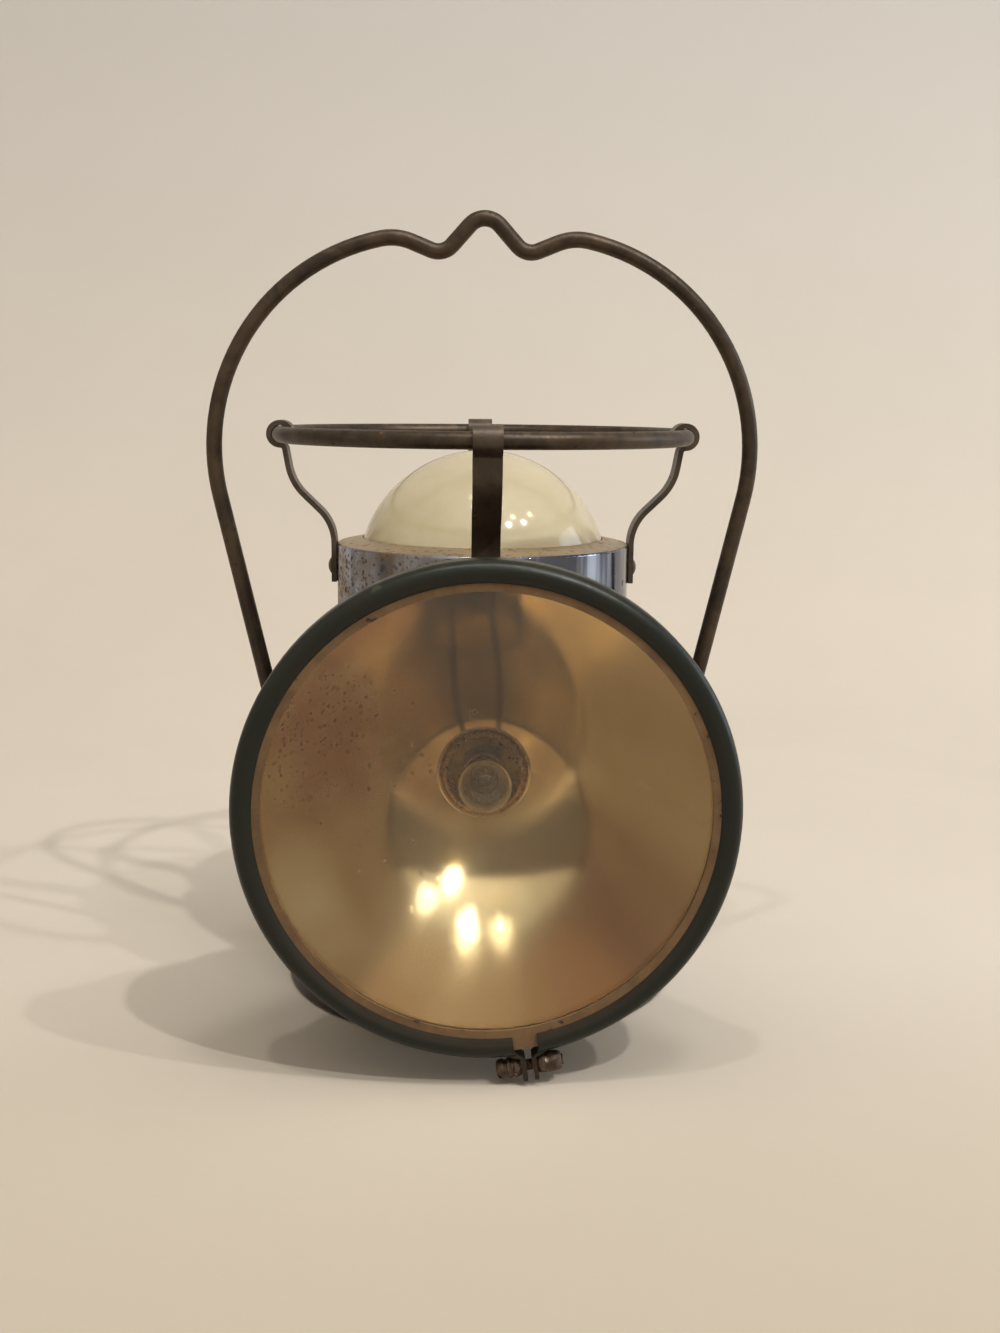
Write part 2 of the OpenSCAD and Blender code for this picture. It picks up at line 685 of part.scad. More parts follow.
module lens_gasket() {
    back_lip_r = reflector_open_r;
    front_lip_r = lens_r - gasket_reach;
    color([0.36, 0.22, 0.17]) at_spot() rotate_extrude() polygon([
        [back_lip_r, gasket_back_d], [gasket_out_r, gasket_back_d], [gasket_out_r, gasket_front_d],
        [front_lip_r, gasket_front_d], [front_lip_r, gasket_front_d - gasket_lip_t],
        [lens_r + seat, gasket_front_d - gasket_lip_t], [lens_r + seat, gasket_back_d + gasket_lip_t],
        [back_lip_r, gasket_back_d + gasket_lip_t]
    ]);
}

module rim_band() {
    half = split_w / 2;
    root = half + 1.4;
    root_r = stack_r + 0.4;
    face = clamp_half + clamp_ear_t;
    ear = [
        [half, root_r], [root, root_r], [root, rim_r - 0.3], [face, rim_r + 0.7], [face, clamp_ear_end],
        [clamp_half, clamp_ear_end], [clamp_half, rim_r + 0.9], [half - 0.6, rim_r - 0.4]
    ];
    color([0.16, 0.19, 0.16]) difference() {
        at_clamp() union() {
            difference() {
                rotate_extrude() difference() {
                    union() {
                        translate([rim_r - rim_bead_r, rim_bead_d]) circle(rim_bead_r);
                        translate([rim_lip_r, rim_back_d - rim_lip_t])
                            square([rim_r - rim_lip_r, rim_bead_d - rim_back_d + rim_lip_t]);
                    }
                    translate([0, rim_back_d]) square([stack_r, gasket_front_d + seat - rim_back_d]);
                }
                translate([-half, -rim_r - skin, rim_back_d - 2 * rim_lip_t])
                    cube([split_w, 2 * rim_bead_r + 2 * skin, rim_bead_d + 2 * rim_bead_r - rim_back_d]);
            }
            for (side = [0, 1]) mirror([side, 0, 0]) translate([0, 0, clamp_d - clamp_ear_w / 2])
                linear_extrude(clamp_ear_w) polygon([for (p = ear) [p[0], -p[1]]]);
        }
        at_screw() translate([0, 0, -split_w]) cylinder(r = screw_r + running, h = 2 * split_w);
    }
}

module clamp_nut() {
    color([0.36, 0.27, 0.2]) at_screw() translate([0, 0, clamp_face]) difference() {
        cylinder(r = 1.1 * screw_head_r, h = clamp_nut_h, $fn = 6);
        translate([0, 0, -skin]) cylinder(r = screw_r + running, h = clamp_nut_h + 2 * skin);
    }
}

module clamp_screw() {
    bevel = 0.6;
    color([0.36, 0.27, 0.2]) at_screw() difference() {
        union() {
            translate([0, 0, -clamp_face - seat]) cylinder(r = screw_r, h = shank_end + clamp_face + seat);
            translate([0, 0, -clamp_face]) rotate([180, 0, 0]) rotate_extrude() polygon([
                [0, 0], [screw_head_r, 0], [screw_head_r, screw_head_h - bevel],
                [screw_head_r - bevel, screw_head_h], [0, screw_head_h]
            ]);
        }
        translate([-slot_w / 2, -screw_head_r - skin, -clamp_face - screw_head_h - skin])
            cube([slot_w, 2 * (screw_head_r + skin), slot_depth + skin]);
    }
}

// A bulb stands on its tip at z = 0: glass, screw cap and filament
module bulb_glass() {
    neck = cap_r - 0.6;
    wall = 0.6;
    globe = bulb_h - bulb_r;
    color([0.85, 0.87, 0.85, 0.4]) rotate_extrude() intersection() {
        difference() {
            union() {
                translate([0, globe]) circle(bulb_r);
                translate([0, cap_h + seat]) square([neck, globe - cap_h]);
            }
            translate([0, globe]) circle(bulb_r - wall);
            square([neck - wall, globe]);
        }
        translate([0, cap_h + seat]) square([2 * bulb_r, bulb_h]);
    }
}

module bulb_cap() {
    root = cap_r - 0.3;
    pitch = 1.8;
    color([0.62, 0.5, 0.3]) difference() {
        union() {
            rotate_extrude() polygon([
                [0, 0], [1.5, 0], [1.5, 0.8], [root - 0.8, 2], [root, 2.4], [root, cap_h], [0, cap_h]
            ]);
            for (turn = [1:3]) wire_ring(root, 0.3, 1.6 + turn * pitch);
        }
        translate([0, 0, cap_floor]) cylinder(r = root - 0.6, h = cap_h);
    }
}

module bulb_filament() {
    arm = 1.6;
    leg = bulb_h - bulb_r - cap_floor - 2 * seat;
    color([0.5, 0.5, 0.5]) {
        translate([-arm, 0, cap_floor + 2 * seat]) rotate([0, -90, 0])
            bent([[leg], [arm, -180], [leg]]) circle(filament_r);
        translate([-1.5 * arm, 0, cap_h + 3]) rotate([0, 90, 0]) cylinder(r = 2 * filament_r, h = 3 * arm);
    }
}

// A socket's shell and the flange that it stands on
module socket(floor, tip, flange_r) {
    color([0.55, 0.45, 0.28]) {
        tube(flange_r, stub_r + seat, floor + seat, socket_flange_t);
        tube(socket_out_r, socket_in_r, floor + seat, tip + socket_depth - floor - seat);
    }
}

// The insulating core of a socket, with a stub that goes through the plate under it
module insulator(floor, tip, plate) {
    base = floor + socket_flange_t + 2 * seat;
    end = floor - plate - stub_out;
    color([0.3, 0.17, 0.12]) difference() {
        union() {
            translate([0, 0, base]) cylinder(r = socket_in_r - seat, h = tip - 1.5 - base);
            translate([0, 0, end]) cylinder(r = stub_r, h = base - end);
        }
        translate([0, 0, end - skin]) cylinder(r = contact_r + seat, h = tip - end);
    }
}

// The rod that meets the bulb's tip at one end and a lead at the other
module contact(floor, tip, plate) {
    translate([0, 0, floor - plate - contact_out])
        cylinder(r = contact_r, h = tip - seat - floor + plate + contact_out);
}

module at_spot_lamp() at_spot() translate([0, 0, spot_tip_d]) children();
module at_top_lamp() translate([0, 0, top_tip_z]) children();
top_floor_z = neck_plate_z + neck_plate_t;

module spot_bulb_glass() at_spot_lamp() bulb_glass();
module spot_bulb_cap() at_spot_lamp() bulb_cap();
module spot_filament() at_spot_lamp() bulb_filament();
module spot_socket() at_spot() socket(tube_floor_d, spot_tip_d, tube_r - housing_t - seat);
module spot_insulator() at_spot() insulator(tube_floor_d, spot_tip_d, housing_t);
module top_bulb_glass() at_top_lamp() bulb_glass();
module top_bulb_cap() at_top_lamp() bulb_cap();
module top_filament() at_top_lamp() bulb_filament();
module top_socket() socket(top_floor_z, top_tip_z, top_socket_flange_r);
module top_insulator() insulator(top_floor_z, top_tip_z, neck_plate_t);
module socket_contacts() {
    color([0.7, 0.56, 0.3]) {
        at_spot() contact(tube_floor_d, spot_tip_d, housing_t);
        contact(top_floor_z, top_tip_z, neck_plate_t);
    }
}

module top_reflector() {
    sheet = 0.6;
    z = top_flange_z;
    color([0.9, 0.88, 0.8]) rotate_extrude() polygon([
        [top_flange_r, z], [top_flange_r, z + sheet], [top_dish_r, z + sheet],
        [top_hole_r, z + sheet + top_reflector_rise], [top_hole_r, z + top_reflector_rise], [top_dish_r, z]
    ]);
}

module post_places() for (a = post_angles) rotate(a) translate([post_place_r, 0, 0]) children();

module contact_board() {
    color([0.42, 0.25, 0.15]) difference() {
        translate([0, 0, board_z]) cylinder(r = board_r, h = board_t);
        post_places() translate([0, 0, board_z - skin])
            cylinder(r = board_screw_r + seat, h = board_t + 2 * skin);
    }
}

module contact_plates() {
    color([0.75, 0.6, 0.32]) for (place = spring_places)
        translate([place[0], place[1], board_z - seat - plate_t]) {
            cylinder(r = plate_r, h = plate_t);
            translate([-2, 0, 0]) cube([4, plate_r + plate_tab, plate_t]);
        }
}

module board_posts() {
    color([0.65, 0.65, 0.62]) post_places() difference() {
        translate([0, 0, post_z]) cylinder(r = post_r, h = post_h);
        translate([0, 0, post_z - skin]) cylinder(r = board_screw_r + seat, h = post_h - skin);
    }
}

module board_screws() {
    color([0.6, 0.52, 0.35]) post_places() {
        translate([0, 0, board_z - seat - board_screw_head_h])
            cylinder(r = board_screw_head_r, h = board_screw_head_h);
        translate([0, 0, board_z - seat - board_screw_head_h])
            cylinder(r = board_screw_r, h = board_screw_head_h + board_t + post_h / 2);
    }
}

// A square outline with round corners, from squares and circles
module battery_outline(w, r) {
    inner = w / 2 - r;
    square([w, 2 * inner], center = true);
    square([2 * inner, w], center = true);
    for (x = [-inner, inner]) for (y = [-inner, inner]) translate([x, y]) circle(r);
}

module battery() {
    color([0.35, 0.12, 0.1]) translate([0, battery_y, battery_z])
        linear_extrude(battery_h - lid_t) battery_outline(battery_w, battery_corner_r);
}

module battery_lid() {
    color([0.2, 0.2, 0.2]) translate([0, battery_y, battery_top_z - lid_t + seat])
        linear_extrude(lid_t - seat) battery_outline(battery_w, battery_corner_r);
}

module spring_terminals() {
    steps = 18 * spring_turns;
    color([0.6, 0.58, 0.5]) for (place = spring_places) {
        path = [for (i = [0:steps])
            let (a = 360 * spring_turns * i / steps,
                 r = spring_base_r + (spring_tip_r - spring_base_r) * i / steps)
            [place[0] + r * cos(a), place[1] + r * sin(a),
             battery_top_z + spring_wire / 2 + seat + (spring_h - 2 * seat) * i / steps]];
        swept(path, spring_wire / 2, 6, [1, 0, 0]);
    }
}

// The switch's frame: +Z outwards through the back of the case, +Y up
module at_switch() translate([0, 0, switch_z]) rotate([-90, 0, 0]) rotate(180) children();

module switch_body() {
    color([0.15, 0.1, 0.08]) at_switch() difference() {
        union() {
            translate([0, 0, switch_back]) cylinder(r = switch_r, h = switch_front - switch_back);
            translate([0, 0, switch_front - skin]) cylinder(r = bush_r, h = bush_end - switch_front + skin);
        }
        translate([0, 0, spindle_from - running]) cylinder(r = spindle_r + running, h = knob_end);
    }
}

module switch_nut() {
    color([0.7, 0.68, 0.6]) at_switch() translate([0, 0, switch_nut_y]) difference() {
        cylinder(r = switch_nut_r, h = switch_nut_h, $fn = 6);
        translate([0, 0, -skin]) cylinder(r = bush_r + seat, h = switch_nut_h + 2 * skin);
    }
}

module switch_lugs() {
    color([0.75, 0.6, 0.32]) at_switch() for (a = lug_angles) rotate(a)
        translate([switch_r + seat, -lug_w / 2, lug_y - lug_t / 2]) cube([lug_h, lug_w, lug_t]);
}

module switch_spindle() {
    color([0.7, 0.68, 0.6]) at_switch() translate([0, 0, spindle_from])
        cylinder(r = spindle_r, h = knob_end - 1 - spindle_from);
}

module switch_knob() {
    disc_h = 3;
    bar_w = 4.6;
    hole_r = grub_r + seat;
    color([0.08, 0.07, 0.06]) at_switch() difference() {
        union() {
            translate([0, 0, knob_y]) cylinder(r = knob_r, h = disc_h);
            translate([-bar_w / 2, -knob_r + 1, knob_y]) cube([bar_w, 2 * knob_r - 1, knob_h]);
        }
        translate([0, 0, knob_y - skin]) cylinder(r = spindle_r + seat, h = knob_h);
        translate([0, 0, knob_y + disc_h / 2]) rotate([90, 0, 0]) cylinder(r = hole_r, h = knob_r + skin);
    }
}

module knob_screw() {
    color([0.5, 0.45, 0.35]) at_switch() translate([0, -spindle_r - seat, knob_y + 1.5]) rotate([90, 0, 0])
        cylinder(r = grub_r, h = knob_r - spindle_r - 1.4);
}

module lead(points, tint) color(tint) swept(curve(points, 4), lead_r, 8, [1, 0, 0.1]);

// A place past the end of a switch lug, at an angle from the switch's right
function lug_end(a, past = 0) = let (out = switch_r + seat + lug_h + lead_r + past)
    [-out * cos(a), lug_y, switch_z + out * sin(a)];

module battery_lead() {
    tab_z = board_z - seat - plate_t - lead_r - 3 * seat;
    tab_y = battery_y + plate_r + plate_tab;
    lead([
        lug_end(lug_angles[1]), lug_end(lug_angles[1], 1.5), [0, battery_back + 2 * lead_r, battery_top_z + 2.2],
        [1.5, battery_back - 6, tab_z - 1.4], [0.6, tab_y + 4, tab_z], [0, tab_y - 2, tab_z]
    ], [0.5, 0.1, 0.08]);
}

module spot_lead() {
    side_x = -battery_w * 0.22;
    over_z = battery_top_z + 4 * lead_r;
    down_y = -(tube_back_d - contact_out - lead_r - 2 * seat);
    lead([
        lug_end(lug_angles[2]), lug_end(lug_angles[2], 1.5),
        [side_x / 2, battery_back + 2 * lead_r, battery_top_z + 2 * lead_r],
        [side_x, battery_back - 8, over_z], [side_x, battery_y, over_z], [side_x, 8 - battery_front, over_z],
        [side_x, down_y, battery_top_z + 2 * lead_r], [0.9 * side_x, down_y, battery_top_z - 6],
        [0.3 * side_x, down_y, spot_z + tube_r], [0, down_y, spot_z + tube_r / 3], [0, down_y, spot_z - lead_r]
    ], [0.1, 0.1, 0.1]);
}

module top_lead() {
    rod_z = neck_plate_z - contact_out - lead_r / 2;
    over_z = post_z + 2.5 * lead_r;
    lead([
        lug_end(lug_angles[0]), lug_end(lug_angles[0], 1.5), [switch_r, battery_back + 2 * lead_r, battery_top_z],
        [switch_r / 2, board_r + 3, board_z], [switch_r / 2, board_r - 3, over_z],
        [switch_r / 4, board_r / 2, over_z], [0, 5, over_z], [0, 0.4, rod_z - 1.2], [0, 0, rod_z]
    ], [0.75, 0.7, 0.6]);
}

module collar() {
    top = collar_edge_z - collar_edge_r;
    under = collar_edge_z - collar_t + collar_drop;
    color([0.72, 0.72, 0.74]) difference() {
        union() {
            rotate_extrude() union() {
                polygon([
                    [collar_in_r, collar_z], [collar_r, collar_z], [collar_r, top],
                    [collar_r - collar_edge_r, collar_edge_z], [collar_hole_r, collar_hole_z],
                    [collar_hole_r, collar_hole_z - collar_t], [collar_in_r, under]
                ]);
                translate([collar_r - collar_edge_r, top]) circle(collar_edge_r);
            }
            for (a = collar_lug_angles) rotate(a)
                radial_pin(collar_lug_r, collar_lug_in_r, collar_r - collar_t / 2, collar_lug_z);
        }
        for (a = strap_angles) rotate(a)
            radial_pin(rivet_r + seat, collar_in_r - 2 * skin, collar_r + skin, rivet_z);
    }
}

module dome_glass() {
    foot_z = dome_flange_z - dome_flange_t;
    color([0.85, 0.82, 0.65, 0.5]) rotate_extrude() {
        intersection() {
            translate([0, dome_centre_z]) difference() {
                circle(dome_sphere_r);
                circle(dome_sphere_r - dome_t);
            }
            translate([0, collar_hole_z]) square([dome_sphere_r, dome_h + skin]);
        }
        translate([dome_r - dome_t, foot_z]) square([dome_t, collar_hole_z - foot_z]);
        translate([dome_r - dome_t, foot_z]) square([dome_t + dome_flange, dome_flange_t]);
    }
}

module dome_gasket() {
    color([0.2, 0.17, 0.15]) tube(dome_flange_r, dome_r + cover_gap, dome_flange_z + seat, dome_gasket_t);
}

module dome_retainer() {
    z = dome_flange_z - dome_flange_t - seat - retainer_t;
    color([0.6, 0.6, 0.6]) difference() {
        tube(collar_in_r - 2 * seat, retainer_in_r, z, retainer_t);
        translate([0, retainer_in_r - skin, z - skin])
            translate([-retainer_gap / 2, 0, 0]) cube([retainer_gap, collar_r, retainer_t + 2 * skin]);
    }
}

module guard_ring() {
    color([0.24, 0.2, 0.15]) wire_ring(guard_r, wire_r, guard_z);
}

module strap(angle) {
    color([0.22, 0.19, 0.15]) rotate(angle) difference() {
        translate([strap_x, 0, strap_foot_z]) rotate([0, -90, 0])
            bent(strap_steps) square([strap_w, strap_t], center = true);
        radial_pin(rivet_r + seat, collar_r - skin, collar_r + strap_t + skin, rivet_z);
    }
}

module strap_front() strap(strap_angles[0]);
module strap_back() strap(strap_angles[1]);
module strap_left() strap(strap_angles[2]);
module strap_right() strap(strap_angles[3]);

module strap_rivets() {
    inner = collar_in_r - 2 * seat;
    outer = strap_x + strap_t / 2 + seat;
    crown = rivet_head_h - rivet_edge;
    dome = (rivet_head_r * rivet_head_r + crown * crown) / (2 * crown);
    color([0.28, 0.22, 0.16]) for (a = strap_angles) rotate(a) {
        radial_pin(rivet_r, inner - rivet_foot, outer + seat, rivet_z);
        radial_pin(rivet_r + 0.7, inner - rivet_foot, inner, rivet_z);
        translate([outer, 0, rivet_z]) rotate([0, 90, 0]) rotate_extrude() intersection() {
            translate([0, rivet_head_h - dome]) circle(dome);
            square([rivet_head_r, rivet_head_h]);
        }
    }
}

module bail_wire() {
    color([0.24, 0.21, 0.17]) translate([-bail_end_x, 0, pivot_z]) rotate([0, 180, 0])
        bent(bail_steps) circle(wire_r);
}

case_shell();
bail_ear_left();
bail_ear_right();
ear_rivets();
neck_plate();
spotlight_housing();
reflector();
socket_ring();
lens_glass();
lens_gasket();
rim_band();
clamp_nut();
spot_socket();
spot_insulator();
socket_contacts();
spot_bulb_glass();
spot_bulb_cap();
spot_filament();
top_reflector();
top_socket();
top_insulator();
top_bulb_glass();
top_bulb_cap();
top_filament();
contact_board();
contact_plates();
board_posts();
board_screws();
battery();
battery_lid();
spring_terminals();
switch_body();
switch_nut();
switch_lugs();
battery_lead();
spot_lead();
top_lead();
base_cup();
base_pad();
collar();
dome_glass();
dome_gasket();
dome_retainer();
guard_ring();
strap_front();
strap_back();
strap_left();
strap_right();
strap_rivets();
bail_wire();
clamp_screw();
switch_spindle();
switch_knob();
knob_screw();
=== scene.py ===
# Railroad lantern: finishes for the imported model, three turned pieces, floor, lamps and camera. Metres, Z up.
import math

import bpy
from mathutils import Matrix, Vector


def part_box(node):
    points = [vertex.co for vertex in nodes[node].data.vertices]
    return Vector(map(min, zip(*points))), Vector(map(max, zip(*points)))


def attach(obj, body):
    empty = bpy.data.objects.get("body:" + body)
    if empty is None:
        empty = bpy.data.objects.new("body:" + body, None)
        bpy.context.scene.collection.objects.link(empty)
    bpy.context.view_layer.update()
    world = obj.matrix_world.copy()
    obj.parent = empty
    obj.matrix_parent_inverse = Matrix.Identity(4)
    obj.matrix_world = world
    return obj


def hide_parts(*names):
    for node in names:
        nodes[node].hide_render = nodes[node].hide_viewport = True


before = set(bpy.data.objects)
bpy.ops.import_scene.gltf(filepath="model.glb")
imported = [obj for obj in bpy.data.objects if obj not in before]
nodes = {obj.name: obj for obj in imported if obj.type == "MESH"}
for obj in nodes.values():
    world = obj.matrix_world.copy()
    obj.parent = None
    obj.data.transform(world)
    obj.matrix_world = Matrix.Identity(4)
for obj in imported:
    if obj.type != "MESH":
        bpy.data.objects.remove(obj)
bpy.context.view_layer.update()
print("frame: %d nodes" % len(nodes))


# node helpers


def plug(tree, value, socket):
    if isinstance(value, bpy.types.NodeSocket):
        tree.links.new(value, socket)
    else:
        socket.default_value = value


def addNode(tree, kind, inputs=None, **settings):
    node = tree.nodes.new(kind)
    for name, value in settings.items():
        setattr(node, name, value)
    for name, value in (inputs or {}).items():
        plug(tree, value, node.inputs[name])
    return node


def colour(rgb):
    # an sRGB colour of 0 to 255, as a linear colour
    linear = [(c / 255 / 12.92) if c < 11 else ((c / 255 + 0.055) / 1.055) ** 2.4 for c in rgb]
    return (*linear, 1.0)


def noise(tree, place, scale, detail, rough=0.55, warp=0.0):
    node = addNode(tree, "ShaderNodeTexNoise", {"Vector": place, "Scale": scale, "Detail": detail,
                                                "Roughness": rough, "Distortion": warp})
    return node.outputs["Fac"]


def between(tree, value, low, high, to=(0.0, 1.0)):
    # value from low to high, as a share between the two numbers in to
    node = addNode(tree, "ShaderNodeMapRange", {"Value": value, "From Min": low, "From Max": high,
                                                "To Min": to[0], "To Max": to[1]})
    return node.outputs["Result"]


def calc(tree, operation, first, second):
    # one sum, kept between 0 and 1
    node = addNode(tree, "ShaderNodeMath", operation=operation, use_clamp=True)
    plug(tree, first, node.inputs[0])
    plug(tree, second, node.inputs[1])
    return node.outputs[0]


def blendColour(tree, share, first, second):
    node = addNode(tree, "ShaderNodeMix", data_type="RGBA")
    plug(tree, share, node.inputs[0])
    plug(tree, first, node.inputs[6])
    plug(tree, second, node.inputs[7])
    return node.outputs[2]


def startMaterial(name, look):
    material = bpy.data.materials.new(name)
    material.use_nodes = True
    tree = material.node_tree
    shader = tree.nodes["Principled BSDF"]
    where = addNode(tree, "ShaderNodeTexCoord").outputs["Object"]
    stretch = look.get("stretch", (1.0, 1.0, 1.0))
    place = addNode(tree, "ShaderNodeMapping", {"Vector": where, "Scale": stretch}).outputs["Vector"]
    return material, tree, shader, where, place


def facing(tree, axis):
    # how far the surface faces an axis, from -1 to 1
    normal = addNode(tree, "ShaderNodeTexCoord").outputs["Normal"]
    parts = addNode(tree, "ShaderNodeSeparateXYZ", {"Vector": normal})
    return parts.outputs[axis]


def position(tree, where, axis):
    return addNode(tree, "ShaderNodeSeparateXYZ", {"Vector": where}).outputs[axis]


# specks: how fine and how far their cells are bent, how softly dots and patches end, and the part of a
# reach within which a layer is full
specking = {
    "bendScale": 1.7, "bend": 0.6, "bendDetail": 2.0, "detail": 2.0, "rough": 0.6,
    "dotSoft": 0.08, "patchSoft": 0.03, "core": 0.4,
}


def speckMask(tree, where, layer):
    # where a layer of specks shows, from 0 to 1: round dots, or the high parts of a noise
    if "dots" in layer:   # dots: the share of the cells that hold one, and its radius as a share of a cell
        share, radius = layer["dots"]
        bent = addNode(tree, "ShaderNodeTexNoise",
                       {"Vector": where, "Scale": layer["scale"] * specking["bendScale"],
                        "Detail": specking["bendDetail"]})
        shift = addNode(tree, "ShaderNodeVectorMath", {0: bent.outputs["Color"]}, operation="SCALE")
        plug(tree, specking["bend"] / layer["scale"], shift.inputs["Scale"])
        moved = addNode(tree, "ShaderNodeVectorMath", {0: where, 1: shift.outputs[0]},
                        operation="ADD").outputs[0]
        cells = addNode(tree, "ShaderNodeTexVoronoi", {"Vector": moved, "Scale": layer["scale"]})
        lucky = addNode(tree, "ShaderNodeSeparateXYZ", {"Vector": cells.outputs["Color"]}).outputs["X"]
        size = between(tree, lucky, 1.0 - share, 1.0, (0.0, radius))
        inside = calc(tree, "SUBTRACT", size, cells.outputs["Distance"])
        mask = between(tree, inside, 0.0, layer.get("soft", specking["dotSoft"]))
    else:
        detail = layer.get("detail", specking["detail"])
        spots = noise(tree, where, layer["scale"], detail, specking["rough"])
        mask = between(tree, spots, layer["edge"], layer["edge"] + layer.get("soft", specking["patchSoft"]))
    # sides: more towards one side, given as the axis, where there are none and where there are all
    for axis, none, full in layer.get("sides", []):
        mask = calc(tree, "MULTIPLY", mask, between(tree, position(tree, where, axis), none, full))
    if "faces" in layer:   # only where the surface faces an axis
        axis, none, full = layer["faces"]
        mask = calc(tree, "MULTIPLY", mask, between(tree, facing(tree, axis), none, full))
    if "around" in layer:   # only near a point: the point, its reach
        point, reach = layer["around"]
        gap = addNode(tree, "ShaderNodeVectorMath", {0: where, 1: point},
                      operation="DISTANCE").outputs["Value"]
        mask = calc(tree, "MULTIPLY", mask, between(tree, gap, reach, reach * specking["core"]))
    return calc(tree, "MULTIPLY", mask, layer.get("amount", 1.0))


# dust: which way the surface faces where it starts and where it is full, and how patchy and dull it is
dusting = {
    "faces": (0.15, 0.95), "scale": 160.0, "detail": 6.0, "rough": 0.7, "patches": (0.3, 0.75),
    "roughness": 0.85,
}
# every finish: how detailed its patches and its grain are, and where the grain starts and is full
surface = {"patchDetail": 5.0, "grainDetail": 3.0, "rough": 0.6, "grainEdges": (0.3, 0.7)}


def makeFinish(name, look):
    # one surface: patches of two colours, layers of specks, dust on top, and a fine grain
    material, tree, shader, where, place = startMaterial(name, look)
    warp = look.get("warp", 0.3)
    patches = noise(tree, place, look["patchScale"], surface["patchDetail"], surface["rough"], warp)
    spread = look.get("patchEdge", 0.12)
    share = between(tree, patches, 0.5 - spread, 0.5 + spread)
    shade = blendColour(tree, share, colour(look["base"]), colour(look["patch"]))
    grain = noise(tree, place, look["grainScale"], surface["grainDetail"], surface["rough"])
    rough = between(tree, grain, *surface["grainEdges"], look["roughness"])
    metal = look["metal"]
    height = grain
    for layer in look["specks"]:
        mask = speckMask(tree, where, layer)
        shade = blendColour(tree, mask, shade, colour(layer["colour"]))
        if "roughness" in layer:
            rough = addNode(tree, "ShaderNodeMix", {0: mask, 2: rough, 3: layer["roughness"]}).outputs[0]
        if "metal" in layer:
            metal = addNode(tree, "ShaderNodeMix", {0: mask, 2: metal, 3: layer["metal"]}).outputs[0]
        if layer.get("dent"):
            height = calc(tree, "SUBTRACT", height, calc(tree, "MULTIPLY", mask, layer["dent"]))
    if "dust" in look:
        amount, dustColour = look["dust"]
        up = between(tree, facing(tree, "Z"), *dusting["faces"])
        fluff = noise(tree, where, dusting["scale"], dusting["detail"], dusting["rough"])
        fluff = between(tree, fluff, *dusting["patches"])
        mask = calc(tree, "MULTIPLY", calc(tree, "MULTIPLY", up, fluff), amount)
        shade = blendColour(tree, mask, shade, colour(dustColour))
        rough = addNode(tree, "ShaderNodeMix", {0: mask, 2: rough, 3: dusting["roughness"]}).outputs[0]
    bump = addNode(tree, "ShaderNodeBump", {"Height": height, "Strength": look["bump"],
                                            "Distance": look.get("bumpDepth", 0.0002)})
    plug(tree, shade, shader.inputs["Base Color"])
    plug(tree, rough, shader.inputs["Roughness"])
    plug(tree, metal, shader.inputs["Metallic"])
    plug(tree, bump.outputs["Normal"], shader.inputs["Normal"])
    shader.inputs["Specular IOR Level"].default_value = look.get("gloss", 0.5)
    shader.inputs["Coat Weight"].default_value = look.get("coat", 0.0)
    shader.inputs["Coat Roughness"].default_value = look.get("coatRoughness", 0.2)
    shader.inputs["Sheen Weight"].default_value = look.get("sheen", 0.0)
    return material


# glass: its index, its smears, where their colour and their blur start and are full, and its waves
glassBody = {
    "index": 1.5, "smearDetail": 5.0, "smearRough": 0.65, "smearWarp": 0.6,
    "tintEdges": (0.35, 0.7), "blurEdges": (0.35, 0.75), "waveDetail": 2.0, "waveDepth": 0.0002,
}


def makeGlass(name, look):
    # clear or tinted glass that lamps shine through, with smears that blur it in places
    material, tree, shader, where, place = startMaterial(name, look)
    smear = noise(tree, place, look["smearScale"], glassBody["smearDetail"], glassBody["smearRough"],
                  glassBody["smearWarp"])
    stained = between(tree, smear, *glassBody["tintEdges"])
    shade = blendColour(tree, stained, colour(look["tint"]), colour(look["film"]))
    plug(tree, shade, shader.inputs["Base Color"])
    blurred = between(tree, smear, *glassBody["blurEdges"], look["roughness"])
    plug(tree, blurred, shader.inputs["Roughness"])
    shader.inputs["Transmission Weight"].default_value = look["clear"]
    shader.inputs["IOR"].default_value = glassBody["index"]
    waves = noise(tree, where, look["waveScale"], glassBody["waveDetail"])
    bump = addNode(tree, "ShaderNodeBump", {"Height": waves, "Strength": look["wave"],
                                            "Distance": glassBody["waveDepth"]})
    plug(tree, bump.outputs["Normal"], shader.inputs["Normal"])
    lightRay = addNode(tree, "ShaderNodeLightPath").outputs["Is Shadow Ray"]
    through = addNode(tree, "ShaderNodeBsdfTransparent", {"Color": colour(look["shadow"])})
    both = addNode(tree, "ShaderNodeMixShader", {0: lightRay, 1: shader.outputs[0], 2: through.outputs[0]})
    tree.links.new(both.outputs[0], tree.nodes["Material Output"].inputs["Surface"])
    return material


def dress(material, *names):
    for name in names:
        for slot in nodes[name].material_slots:
            slot.material = material


# painted sheet

